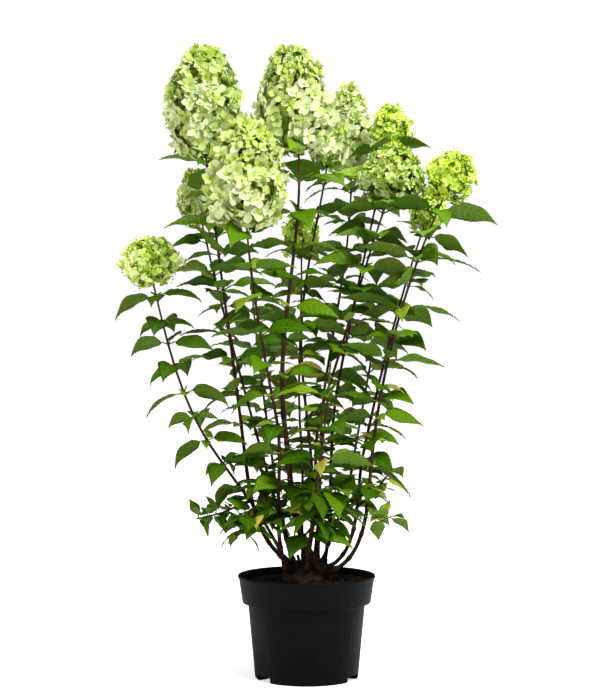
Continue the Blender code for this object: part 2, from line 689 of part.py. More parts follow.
class Space:
    """What already stands where: a search tree for each solid, so a new leaf keeps clear of the others."""

    def __init__(self):
        self.held = []

    def hold(self, mesh, owner, blade=False):
        points = [v.co.copy() for v in mesh.vertices]
        faces = [tuple(p.vertices) for p in mesh.polygons]
        self.hold_points(points, faces, owner, blade)

    def hold_points(self, points, faces, owner, blade=False):
        low = Vector([min(p[axis] for p in points) for axis in range(3)])
        high = Vector([max(p[axis] for p in points) for axis in range(3)])
        self.held.append((owner, blade, low, high, BVHTree.FromPolygons(points, faces)))

    def is_free(self, mesh, owner, clearance):
        points = [v.co.copy() for v in mesh.vertices]
        faces = [tuple(p.vertices) for p in mesh.polygons]
        return self.is_free_points(points, faces, owner, clearance)

    def is_free_points(self, points, faces, owner, clearance=0.0, own_blades=False):
        low = Vector([min(p[axis] for p in points) - clearance for axis in range(3)])
        high = Vector([max(p[axis] for p in points) + clearance for axis in range(3)])
        tree = None
        for holder, blade, other_low, other_high, other in self.held:
            if holder == owner and not (own_blades and blade):
                continue
            if any(low[a] > other_high[a] or high[a] < other_low[a] for a in range(3)):
                continue
            tree = tree or BVHTree.FromPolygons(points, faces)
            if other.overlap(tree):
                return False
            if clearance and any((other.find_nearest(p, clearance) or (None,))[0] for p in points):
                return False
        return True


def leaf_sections(root, heading, rise, droop, length, shares):
    """Where a leaf's middle line lies at each share of its length, and its sideways and upward directions.

    It leaves its stem at its rise and bends down by its droop in all, as it gets heavier to its tip.
    """
    point = root.copy()
    line = [(point.copy(), rise)]
    for step in range(LEAF_STEPS):
        slant = rise - droop * (step + 0.5) / LEAF_STEPS
        point += length / LEAF_STEPS * (heading * math.cos(slant) + Vector((0.0, 0.0, math.sin(slant))))
        line.append((point.copy(), rise - droop * (step + 1) / LEAF_STEPS))
    side = heading.cross(Vector((0.0, 0.0, 1.0)))
    sections = []
    for share in shares:
        place, slant = line[round(share * LEAF_STEPS)]
        up = Vector((0.0, 0.0, math.cos(slant))) - heading * math.sin(slant)
        sections.append((place, side, up))
    return sections


def leaf_shape(leaf, swell=0.0, from_stem=True):
    """A leaf's points and faces: three-sided sections at its root and its widest, lofted to its tip."""
    shares = (0.0 if from_stem else BLADE_FOOT, WIDEST_AT, 1.0)
    half = leaf["length"] * BLADE_RATIO / 2
    halves = (ROOT_HALF if from_stem else 0.3 * half, half)
    line = leaf_sections(leaf["root"], leaf["heading"], leaf["rise"], leaf["droop"], leaf["length"], shares)
    points = []
    for (place, side, up), width in zip(line[:-1], halves):
        roll = Matrix.Rotation(leaf["roll"], 3, side.cross(up))
        across = roll @ side * (width + swell)
        raised = roll @ up
        lift = raised * (FOLD * width + swell)
        points += [place - across + lift, place + across + lift, place - raised * (BLADE_THICKNESS + swell)]
    tip = line[-1][0]
    points.append(tip + (tip - line[1][0]).normalized() * swell)
    faces = [(0, 1, 2)]
    for corner in range(3):
        after = (corner + 1) % 3
        faces += [(corner, corner + 3, after), (after, corner + 3, after + 3), (3 + corner, 6, 3 + after)]
    return points, faces


def compass(tangent, turn):
    """The direction that leaves a stem square to it, at a turn from the viewer's side towards +X."""
    front = Vector((0.0, -1.0, 0.0))
    front = (front - tangent * front.dot(tangent)).normalized()
    right = front.cross(tangent) * -1.0
    if right.x < 0:
        right = -right
    return front * math.cos(turn) + right * math.sin(turn)


def leaf_at(root, tangent, turn, rise, droop, length, roll):
    out = compass(tangent, turn)
    heading = Vector((out.x, out.y, 0.0))
    heading = heading.normalized() if heading.length > 1e-6 else Vector((0.0, -1.0, 0.0))
    slant = math.asin(max(-1.0, min(1.0, out.z))) * 0.6 + rise
    return dict(root=root, heading=heading, rise=slant, droop=droop, length=length, roll=roll)


def place_leaf(leaf, owner, rule, space):
    """Tries a leaf as dealt, then swung and tipped a little: the first that is clear is kept, or none."""
    for attempt in range(LEAF_TRIES):
        swing = 0.0 if attempt == 0 else rule.uniform(-TRY_SWING, TRY_SWING)
        tip = 0.0 if attempt == 0 else rule.uniform(-TRY_DIP, TRY_LIFT)
        tried = dict(leaf)
        tried["heading"] = Matrix.Rotation(swing, 3, "Z") @ leaf["heading"]
        tried["rise"] = leaf["rise"] + tip
        tried["length"] = leaf["length"] * (1.0 - TRY_SHORTER * attempt)
        points, faces = leaf_shape(tried, LEAF_CLEARANCE)
        if min(p.z for p in points) < LEAF_FLOOR:
            continue
        if (points[-1] - tried["root"]).length > SLEEVE:
            continue
        if not space.is_free_points(points, faces, owner):
            continue
        blade, blade_faces = leaf_shape(tried, LEAF_CLEARANCE / 2, from_stem=False)
        if not space.is_free_points(blade, blade_faces, owner, own_blades=True):
            continue
        space.hold_points(blade, blade_faces, owner, blade=True)
        points, faces = leaf_shape(tried, LEAF_CLEARANCE / 2)
        space.hold_points(points, faces, owner)
        return tried
    return None


def leaf_rule(name, pair, side):
    """A leaf's own run of chances, so that a leaf that finds no room doesn't change the ones after it."""
    return random.Random(f"{name} pair {pair} side {side:.0f}")


def leaf_size(cane, share):
    """Leaf length by how far up its cane it grows: small at the foot and full from the middle on."""
    return cane["leaf"] * (SMALLEST_LEAF + LEAF_GROWTH * math.sin(math.pi * LEAF_PEAK * share))


def shoot_leaves(name, cane, path, space):
    """A shoot's leaves: opposite pairs, each turned a quarter from the last and smaller to the foot."""
    spaces = random.Random(name + " pairs")
    owner = f"shoot_{name}"
    dealt = []
    s = cane["leafy_from"] + FIRST_PAIR
    pair = 0
    while s < path.length - LAST_PAIR:
        share = s / path.length
        size = leaf_size(cane, share)
        turn = math.radians(cane["turn"] + 90.0 * pair) + spaces.uniform(-0.22, 0.22)
        for side in (0.0, math.pi):
            rule = leaf_rule(name, pair, side)
            length = size * rule.uniform(0.90, 1.08)
            rise = math.radians(cane["rise"]) + rule.uniform(-0.16, 0.16) + 0.25 * (share - 0.5)
            droop = math.radians(cane["droop"]) * rule.uniform(0.75, 1.25)
            roll = rule.uniform(-0.75, 0.75)
            leaf = leaf_at(path.at(s), path.direction(s), turn + side, rise, droop, length, roll)
            dealt.append(place_leaf(leaf, owner, rule, space))
        s += cane["spacing"] * spaces.uniform(0.88, 1.12)
        pair += 1
    return [leaf for leaf in dealt if leaf]


def add_leaf_solids(leaves, collection):
    for number, leaf in enumerate(leaves):
        points, faces = leaf_shape(leaf)
        mesh = bpy.data.meshes.new(f"leaf_{number}")
        mesh.from_pydata([tuple(p) for p in points], [], faces)
        mesh_object(f"leaf_{number}", mesh, collection, "foliage")
        facing = bmesh.new()
        facing.from_mesh(mesh)
        face_outwards(facing)
        facing.to_mesh(mesh)
        facing.free()


def make_shoot(name, stem, leaves):
    """One mass of leaves: its stem with every leaf fused on, its root sunk to the stem's middle."""
    group = new_collection(name + "_leaves")
    add_leaf_solids(leaves, group)
    return fuse(stem, group)


def shoot_stem(name, cane, path, parts):
    start = cane["leafy_from"] + GAP
    return limb_between(f"shoot_{name}", cane, path, start, path.length, SHOOT_STEP, parts, "foliage", 0)


def twig_path(twig, paths):
    """A side twig's line: it starts a hair off the flats of its bough's bark and curves up a little."""
    cane = CANES[twig["cane"]]
    path = paths[twig["cane"]]
    root = path.at(twig["at"])
    tangent = path.direction(twig["at"])
    out = compass(tangent, math.radians(twig["turn"]))
    rise = math.radians(twig["rise"])
    along = (out * math.cos(rise) + Vector((0.0, 0.0, math.sin(rise)))).normalized()
    lean = along.angle(tangent)
    bark = cane_radius(cane, path, twig["at"])
    flats = bark * math.cos(math.radians(30.0))
    clear = (flats + GAP + TWIG_RADIUS * abs(math.cos(lean))) / math.sin(lean) + twig["off"]
    start = root + along * clear
    end = start + along * twig["length"] + Vector((0.0, 0.0, TWIG_LIFT * twig["length"]))
    bend = start.lerp(end, 0.5) - Vector((0.0, 0.0, TWIG_SAG * twig["length"]))
    return Path([start, bend, end])


def twig_stem(name, path, parts):
    points = [path.at(s) for s in stations(0.0, path.length, TWIG_STEP)]
    return tube(name, points, [TWIG_RADIUS] * len(points), parts, "foliage", 0)


def twig_leaves(name, twig, path, space):
    """A side twig's leaves, closer and smaller than a cane's, with one at its very tip."""
    dealt = []
    pairs = max(2, round(twig["length"] / (0.42 * twig["leaf"])))
    for pair in range(pairs):
        s = path.length * (0.30 + 0.66 * pair / (pairs - 1))
        for side in (0.0, math.pi):
            rule = leaf_rule(name, pair, side)
            turn = math.radians(70.0 + 90.0 * pair) + rule.uniform(-0.3, 0.3)
            length = twig["leaf"] * rule.uniform(0.8, 1.1)
            rise = rule.uniform(0.1, 0.6)
            droop = rule.uniform(0.6, 1.3)
            tangent = path.direction(s)
            leaf = leaf_at(path.at(s), tangent, turn + side, rise, droop, length, rule.uniform(-0.6, 0.6))
            dealt.append(place_leaf(leaf, name, rule, space))
    return [leaf for leaf in dealt if leaf]


def make_plant():
    clear_scene()
    parts = new_collection(PLANT)
    cutters = new_collection("cutters")
    make_pot(parts, cutters)
    make_compost(parts)
    paths = {name: cane_path(cane) for name, cane in CANES.items()}
    space = Space()
    for bough in make_boughs(parts, paths):
        space.hold(bough.data, bough.name)
    stool = make_stool(parts, paths, space)
    space.hold(stool.data, "stool")
    stems = {}
    for name, cane in CANES.items():
        stems[name] = shoot_stem(name, cane, paths[name], parts)
        space.hold(stems[name].data, f"shoot_{name}")
    twigs = {}
    twig_lines = {}
    for name, twig in SIDE_TWIGS.items():
        twig_lines[name] = twig_path(twig, paths)
        twigs[name] = twig_stem(name, twig_lines[name], parts)
        space.hold(twigs[name].data, name)
    for name, head in HEADS.items():
        make_head(name, head, paths[head["cane"]], parts, space)
    count = 0
    for name, cane in CANES.items():
        leaves = shoot_leaves(name, cane, paths[name], space)
        count += len(leaves)
        make_shoot(f"shoot_{name}", stems[name], leaves)
    for name, twig in SIDE_TWIGS.items():
        leaves = twig_leaves(name, twig, twig_lines[name], space)
        count += len(leaves)
        make_shoot(name, twigs[name], leaves)
    print("leaves", count)


make_plant()
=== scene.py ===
import math
import random

import bmesh
import bpy
import numpy as np
from mathutils import Matrix, Vector, noise
from mathutils.bvhtree import BVHTree


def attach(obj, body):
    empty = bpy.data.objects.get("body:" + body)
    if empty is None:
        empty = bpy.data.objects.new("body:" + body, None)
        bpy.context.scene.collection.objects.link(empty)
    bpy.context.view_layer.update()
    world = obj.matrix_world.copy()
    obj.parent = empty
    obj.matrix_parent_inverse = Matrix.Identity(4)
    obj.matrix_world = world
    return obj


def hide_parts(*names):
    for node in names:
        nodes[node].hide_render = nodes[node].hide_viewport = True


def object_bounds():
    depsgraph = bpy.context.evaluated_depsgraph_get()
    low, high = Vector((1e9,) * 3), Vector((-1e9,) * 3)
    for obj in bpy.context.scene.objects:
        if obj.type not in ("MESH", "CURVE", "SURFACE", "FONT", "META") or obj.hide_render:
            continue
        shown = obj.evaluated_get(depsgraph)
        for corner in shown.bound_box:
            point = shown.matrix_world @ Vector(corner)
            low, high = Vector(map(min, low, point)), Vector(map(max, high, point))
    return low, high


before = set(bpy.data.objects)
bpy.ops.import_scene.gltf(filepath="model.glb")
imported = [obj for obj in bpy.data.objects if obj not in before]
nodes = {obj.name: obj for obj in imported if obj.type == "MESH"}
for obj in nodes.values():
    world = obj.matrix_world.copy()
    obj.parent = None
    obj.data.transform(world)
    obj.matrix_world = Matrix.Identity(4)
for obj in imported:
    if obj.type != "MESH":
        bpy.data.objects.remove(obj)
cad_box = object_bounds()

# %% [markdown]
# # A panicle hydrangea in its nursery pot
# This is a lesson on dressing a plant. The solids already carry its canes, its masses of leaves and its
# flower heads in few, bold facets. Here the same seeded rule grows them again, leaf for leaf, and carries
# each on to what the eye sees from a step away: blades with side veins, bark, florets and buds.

scene = bpy.context.scene
UP = Vector((0.0, 0.0, 1.0))
print("frame:", len(nodes), "solids")

# %% [markdown]
# ## Making meshes from arrays
# A shrub has hundreds of leaves and thousands of sepals. Each kind is gathered in one heap of points and
# faces, and one mesh is made from the heap: that is much quicker than joining objects, and it keeps every
# piece one object. A heap also remembers which finish each face wears.


# %% Heaps
class Heap:
    """Points, four-cornered faces and three-cornered faces that will become one mesh."""

    def __init__(self):
        self.points = []
        self.quads = []
        self.triangles = []
        self.count = 0

    def add(self, points, quads=(), triangles=(), slot=0):
        """Adds one shape. slot is one number, or a pair of lists with one for each quad and triangle."""
        points = np.asarray(points, np.float32).reshape(-1, 3)
        quad_slots, triangle_slots = slot if isinstance(slot, tuple) else (slot, slot)
        for faces, slots, kept, width in (
            (quads, quad_slots, self.quads, 4),
            (triangles, triangle_slots, self.triangles, 3),
        ):
            faces = np.asarray(faces, np.int32).reshape(-1, width)
            if len(faces):
                worn = np.broadcast_to(np.asarray(slots, np.int32), (len(faces),))
                kept.append(np.column_stack([faces + self.count, worn]))
        self.points.append(points)
        self.count += len(points)

    def mesh(self, name, finishes, smooth=True):
        """One mesh object from everything in the heap."""
        mesh = bpy.data.meshes.new(name)
        points = np.concatenate(self.points)
        quads = np.concatenate(self.quads) if self.quads else np.zeros((0, 5), np.int32)
        triangles = np.concatenate(self.triangles) if self.triangles else np.zeros((0, 4), np.int32)
        loops = np.concatenate([quads[:, :4].ravel(), triangles[:, :3].ravel()])
        sizes = np.concatenate([np.full(len(quads), 4), np.full(len(triangles), 3)])
        slots = np.concatenate([quads[:, 4], triangles[:, 3]])
        mesh.vertices.add(len(points))
        mesh.vertices.foreach_set("co", points.ravel())
        mesh.loops.add(len(loops))
        mesh.loops.foreach_set("vertex_index", loops.astype(np.int32))
        mesh.polygons.add(len(sizes))
        starts = np.concatenate([[0], np.cumsum(sizes)[:-1]])
        mesh.polygons.foreach_set("loop_start", starts.astype(np.int32))
        mesh.polygons.foreach_set("material_index", slots.astype(np.int32))
        mesh.polygons.foreach_set("use_smooth", np.full(len(sizes), smooth))
        for finish in finishes:
            mesh.materials.append(finish)
        mesh.update(calc_edges=True)
        mesh.validate()
        piece = bpy.data.objects.new(name, mesh)
        scene.collection.objects.link(piece)
        print(f"{name}: {2 * len(quads) + len(triangles)} triangles")
        return piece


def grid_faces(rows, columns, closed=False):
    """The faces of a grid of points laid out row by row, whose columns may close to a ring."""
    wide = columns if closed else columns - 1
    row, column = np.meshgrid(np.arange(rows - 1), np.arange(wide), indexing="ij")
    after = (column + 1) % columns
    here, above = row * columns, (row + 1) * columns
    return np.stack([here + column, here + after, above + after, above + column], axis=-1).reshape(-1, 4)


def round_z(angle, radius, height):
    """The point at an angle and a radius round the upright axis, at a height."""
    return Vector((math.cos(angle) * radius, math.sin(angle) * radius, height))


def dressed(piece, slot, *replaced):
    """Hangs a piece on the root body and hides the solids it stands for; slot, its finish in the record, is
    not used.
    """
    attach(piece, "root")
    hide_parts(*replaced)
    return piece


# %% [markdown]
# ## Effects that several materials share
# Bark, plastic and compost all have a grain, a colour that wanders, and dust that lies on what looks up.
# Each of these is a node group with plain inputs, so a material says only how much of it there is. A
# group gives back a colour, a mask or a normal, and the surface shader stays in the material.


# %% Node groups
COLOUR, NUMBER, ARROW = "NodeSocketColor", "NodeSocketFloat", "NodeSocketVector"


def new_group(name, inputs, outputs):
    """An empty group with its named inputs, each with a value, and its named outputs."""
    tree = bpy.data.node_groups.new(name, "ShaderNodeTree")
    for label, kind, value in inputs:
        tree.interface.new_socket(label, in_out="INPUT", socket_type=kind).default_value = value
    for label, kind in outputs:
        tree.interface.new_socket(label, in_out="OUTPUT", socket_type=kind)
    return tree, tree.nodes.new("NodeGroupInput"), tree.nodes.new("NodeGroupOutput")


def new_node(tree, kind, inputs=(), **settings):
    """A shader node of a kind, with the values of its inputs and its own settings."""
    node = tree.nodes.new("ShaderNode" + kind)
    for label, value in settings.items():
        setattr(node, label, value)
    for label, value in dict(inputs).items():
        node.inputs[label].default_value = value
    return node


def wire(tree, *joins):
    """Joins sockets. Each join is a node and its output, then the next node and its input."""
    for source, output, target, entry in joins:
        tree.links.new(source.outputs[output], target.inputs[entry])


def noise_node(tree, detail, roughness=0.55):
    """A noise read in the object's own metres, so that it keeps its size on every piece."""
    place, stretch = new_node(tree, "TexCoord"), new_node(tree, "Mapping")
    grain = new_node(tree, "TexNoise", dict(Detail=detail, Roughness=roughness))
    wire(tree, (place, "Object", stretch, "Vector"), (stretch, "Vector", grain, "Vector"))
    return grain, stretch


def give_way(tree, given, made, mask, second):
    """Ends a group: its colour gives way to a second one under a mask, as far as the amount asks."""
    amount = new_node(tree, "Math", operation="MULTIPLY")
    mix = new_node(tree, "Mix", data_type="RGBA")
    wire(
        tree, (*mask, amount, 0), (given, "Amount", amount, 1), (amount, "Value", mix, "Factor"),
        (given, "Colour", mix, "A"), (given, second, mix, "B"), (mix, "Result", made, "Colour"),
        (amount, "Value", made, "Mask"),
    )
    return tree


def mottle_group():
    """Soft-edged patches of a second colour."""
    tree, given, made = new_group(
        "mottle",
        [("Colour", COLOUR, (0.5, 0.5, 0.5, 1)), ("Second colour", COLOUR, (0.3, 0.3, 0.3, 1)),
         ("Scale", NUMBER, 60.0), ("Amount", NUMBER, 0.5)],
        [("Colour", COLOUR), ("Mask", NUMBER)],
    )
    grain, _ = noise_node(tree, 5.0)
    sharper = new_node(tree, "MapRange", {"From Min": 0.36, "From Max": 0.64})
    wire(tree, (given, "Scale", grain, "Scale"), (grain, "Fac", sharper, "Value"))
    return give_way(tree, given, made, (sharper, "Result"), "Second colour")


def grain_group():
    """A fine relief that may be drawn out along one direction."""
    tree, given, made = new_group(
        "grain",
        [("Scale", NUMBER, 400.0), ("Stretch", ARROW, (1.0, 1.0, 1.0)),
         ("Depth", NUMBER, 0.0004), ("Strength", NUMBER, 0.5)],
        [("Normal", ARROW), ("Height", NUMBER)],
    )
    grain, stretch = noise_node(tree, 6.0, 0.62)
    bump = new_node(tree, "Bump")
    wire(
        tree, (given, "Stretch", stretch, "Scale"), (given, "Scale", grain, "Scale"),
        (grain, "Fac", bump, "Height"), (given, "Depth", bump, "Distance"),
        (given, "Strength", bump, "Strength"), (bump, "Normal", made, "Normal"),
        (grain, "Fac", made, "Height"),
    )
    return tree


def dust_group():
    """Dust that lies in patches on whatever looks up."""
    tree, given, made = new_group(
        "dust",
        [("Colour", COLOUR, (0.1, 0.1, 0.1, 1)), ("Dust colour", COLOUR, (0.2, 0.16, 0.12, 1)),
         ("Scale", NUMBER, 35.0), ("Amount", NUMBER, 0.3)],
        [("Colour", COLOUR), ("Mask", NUMBER)],
    )
    grain, _ = noise_node(tree, 4.0)
    facing, split = new_node(tree, "NewGeometry"), new_node(tree, "SeparateXYZ")
    upward = new_node(tree, "MapRange", {"From Min": -0.1})
    patchy = new_node(tree, "Math", operation="MULTIPLY")
    wire(
        tree, (facing, "Normal", split, "Vector"), (split, "Z", upward, "Value"),
        (given, "Scale", grain, "Scale"), (upward, "Result", patchy, 0), (grain, "Fac", patchy, 1),
    )
    return give_way(tree, given, made, (patchy, "Value"), "Dust colour")


GROUPS = {"mottle": mottle_group(), "grain": grain_group(), "dust": dust_group()}
print("groups:", ", ".join(GROUPS))


# %% [markdown]
# ## Finishes
# A leaf or sepal wears one plain colour, and the plant gets its richness from dealing several such tints
# out by spray, as a real shrub does from young and old leaves. The darker tints dealt to small leaves low on
# the left and to the inner florets of a head are painted shade. What stays put under the eye, such as bark,
# plastic and compost, has colour and grain worked out by nodes from the shared groups.


# %% Materials
def linear(red, green, blue):
    """A colour given as it looks on a screen, from 0 to 255, turned to the linear values shaders take."""
    shown = [channel / 255.0 for channel in (red, green, blue)]
    return (*(part / 12.92 if part <= 0.04045 else ((part + 0.055) / 1.055) ** 2.4 for part in shown), 1.0)


def plain_finish(name, colour, roughness, shine):
    """A finish of one colour, told by its roughness and by how much it mirrors."""
    material = bpy.data.materials.new(name)
    material.use_nodes = True
    shader = material.node_tree.nodes["Principled BSDF"]
    shader.inputs["Base Color"].default_value = linear(*colour)
    shader.inputs["Roughness"].default_value = roughness
    shader.inputs["Specular IOR Level"].default_value = shine
    return material


def place_group(tree, name, **values):
    """A group in a material, with its own values: an underscore in a name stands for a space."""
    inputs = {label.replace("_", " "): value for label, value in values.items()}
    return new_node(tree, "Group", inputs, node_tree=GROUPS[name])


def grained_finish(name, colour, second, roughness, shine, mottle, grain, dust):
    """A finish with a wandering colour, dust on what looks up, and a grain that catches the light."""
    material = plain_finish(name, colour, roughness, shine)
    tree = material.node_tree
    shader = tree.nodes["Principled BSDF"]
    patches = place_group(tree, "mottle", Colour=linear(*colour), Second_colour=linear(*second), **mottle)
    dusty = place_group(tree, "dust", **dust)
    relief = place_group(tree, "grain", **grain)
    rougher = new_node(tree, "MapRange", {"To Min": roughness - 0.08, "To Max": min(1.0, roughness + 0.12)})
    wire(
        tree, (patches, "Colour", dusty, "Colour"), (dusty, "Colour", shader, "Base Color"),
        (relief, "Normal", shader, "Normal"), (relief, "Height", rougher, "Value"),
        (rougher, "Result", shader, "Roughness"),
    )
    return material


PLASTIC = grained_finish(
    "pot_plastic", (4, 4, 5), (7, 7, 8), 0.48, 0.09,
    dict(Scale=14.0, Amount=0.7), dict(Scale=900.0, Depth=0.0002, Strength=0.3),
    dict(Dust_colour=linear(60, 56, 50), Scale=30.0, Amount=0.06),
)
COMPOST = grained_finish(
    "compost_crumb", (22, 16, 11), (38, 27, 18), 0.95, 0.1,
    dict(Scale=220.0, Amount=0.8), dict(Scale=700.0, Depth=0.0012, Strength=0.9),
    dict(Dust_colour=linear(60, 46, 32), Scale=90.0, Amount=0.25),
)
CHIP = grained_finish(
    "bark_chip", (48, 33, 22), (26, 18, 12), 0.92, 0.12,
    dict(Scale=260.0, Amount=0.8), dict(Scale=900.0, Depth=0.0006, Strength=0.8),
    dict(Dust_colour=linear(84, 66, 48), Scale=90.0, Amount=0.25),
)
OLD_BARK = grained_finish(
    "old_bark", (58, 40, 28), (34, 22, 16), 0.88, 0.12,
    dict(Scale=120.0, Amount=0.9),
    dict(Scale=420.0, Stretch=(1.0, 1.0, 0.22), Depth=0.0008, Strength=0.85),
    dict(Dust_colour=linear(100, 82, 62), Scale=60.0, Amount=0.22),
)
CANE_BARK = grained_finish(
    "cane_bark", (70, 38, 27), (42, 22, 16), 0.66, 0.2,
    dict(Scale=90.0, Amount=0.8),
    dict(Scale=520.0, Stretch=(1.0, 1.0, 0.2), Depth=0.0004, Strength=0.6),
    dict(Dust_colour=linear(110, 84, 60), Scale=60.0, Amount=0.12),
)
GREEN_CANE = plain_finish("green_cane", (92, 76, 36), 0.6, 0.2)
TWIG_BARK = plain_finish("twig_bark", (54, 36, 22), 0.7, 0.12)
PETIOLE = plain_finish("leaf_stalk", (96, 100, 32), 0.58, 0.12)
MIDRIB = plain_finish("midrib", (104, 140, 50), 0.55, 0.12)
FLOWER_STALK = plain_finish("flower_stalk", (134, 152, 62), 0.66, 0.1)

UNDERSIDE_ROUGHNESS = 0.7
UNDERSIDE_SHINE = 0.1
SEPAL_ROUGHNESS = 0.66
BUD_ROUGHNESS = 0.62
BLOSSOM_SHINE = 0.12

# Each tint of leaf: the name of its finish, the colour, roughness and shine of its upper side and of its
# side veins, and the colour of its underside. The finishes stand in the order of a blade's slots.
LEAF_COLOURS = {
    "deep": ("leaf_deep_green", ((60, 100, 2), 0.46, 0.08), ((76, 114, 14), 0.56, 0.06), (86, 118, 36)),
    "mid": ("leaf_mid_green", ((88, 128, 6), 0.46, 0.10), ((104, 142, 22), 0.57, 0.06), (98, 132, 42)),
    "fresh": ("leaf_fresh_green", ((122, 154, 30), 0.48, 0.10), ((136, 166, 46), 0.58, 0.06), (118, 150, 56)),
    "young": ("leaf_young_green", ((152, 180, 46), 0.58, 0.06), ((156, 188, 62), 0.58, 0.06), (146, 176, 72)),
    "yellow": ("leaf_yellowing", ((186, 182, 70), 0.55, 0.13), ((198, 194, 96), 0.58, 0.09), (192, 188, 96)),
}
LEAF_FINISHES = {
    tint: [
        plain_finish(name, *top),
        plain_finish(f"underside_{tint}", under, UNDERSIDE_ROUGHNESS, UNDERSIDE_SHINE),
        MIDRIB,
        PETIOLE,
        plain_finish(f"vein_{tint}", *vein),
    ]
    for tint, (name, top, vein, under) in LEAF_COLOURS.items()
}

# The tints of a cream head and of a lime one, from the palest sepal to the greenest and then the bud.
BLOSSOM_COLOURS = {
    "cream": {
        "sepal_ivory": (222, 232, 179),
        "sepal_cream": (206, 222, 139),
        "sepal_pale_lime": (191, 212, 101),
        "sepal_lime": (164, 191, 66),
        "sepal_green": (130, 160, 38),
        "bud_green": (101, 135, 24),
    },
    "lime": {
        "lime_palest": (243, 255, 176),
        "lime_pale": (228, 248, 132),
        "lime_bright": (214, 240, 98),
        "lime_fresh": (196, 224, 70),
        "lime_green": (168, 198, 50),
        "lime_bud": (136, 166, 36),
    },
}


def blossom_finish(name, colour):
    return plain_finish(name, colour, BUD_ROUGHNESS if "bud" in name else SEPAL_ROUGHNESS, BLOSSOM_SHINE)


BLOSSOM_FINISHES = {
    kind: [blossom_finish(*tint) for tint in tints.items()] + [FLOWER_STALK]
    for kind, tints in BLOSSOM_COLOURS.items()
}
print("finishes:", len(bpy.data.materials))

# %% [markdown]
# ## The rule that grows the plant
# The canes, side twigs and heads are told by the same short tables and the same functions as the part's
# source, so the dressed plant fills the same space as its solids. A cane is a smooth curve through three
# stations; a pair of leaves leaves it at each node, turned a quarter from the last.

# %% Sizes
GAP = 0.0003
POT_HEIGHT = 0.208
RIM_RADIUS = 0.140
COLLAR_DEPTH = 0.055
COLLAR_FOOT_RADIUS = 0.1305
WALL_TOP_RADIUS = 0.1185
WALL_FOOT_RADIUS = 0.105
WALL = 0.0022
FOOT_HEIGHT = 0.011
FOOT_WIDTH = 0.022
COMPOST_TOP = 0.195
STOOL_FLARE = 0.054
STOOL_HEIGHT = 0.048
SPUR_LENGTH = 0.016
SHOOT_STEP = 0.085
TWIG_STEP = 0.040
SQUARE_END = 0.003
TIP_RADIUS = 0.0022
CANE_STEPS = 40
TAPER_POWER = 0.8
TWIG_RADIUS = 0.0014
TWIG_LIFT = 0.18
TWIG_SAG = 0.05
FIRST_PAIR = 0.022
LAST_PAIR = 0.012
SMALLEST_LEAF = 0.60
LEAF_GROWTH = 0.46
LEAF_PEAK = 0.60
BLADE_FOOT = 0.2
WIDEST_AT = 0.5
BLADE_RATIO = 0.50
ROOT_HALF = 0.0016
FOLD = 0.05
BLADE_THICKNESS = 0.0014
LEAF_CLEARANCE = 0.0012
LEAF_TRIES = 9
TRY_SWING = 0.5
TRY_DIP = 0.35
TRY_LIFT = 0.25
TRY_SHORTER = 0.03
LEAF_FLOOR = POT_HEIGHT + 0.012
SLEEVE = 0.16
FOOT_TUCK = 0.93
CROWN_POWER = 1.8
CROWN_BLUNT = 0.66
CANE_PULL = 0.35
HEAD_FULLNESS = 0.78
GOLDEN_ANGLE = math.radians(137.5)

# %% [markdown]
# ## The plant in three tables
# The tables hold the plant's canes, the short twigs low on them, and its flower heads. Their rows follow the
# photograph, and the depth of a cane is a guess where the photograph can't show it.

# %% Tables
def rows_of(columns, rows):
    """A table whose rows are told by the names of its columns."""
    return {name: dict(zip(columns.split(), row)) for name, row in rows.items()}


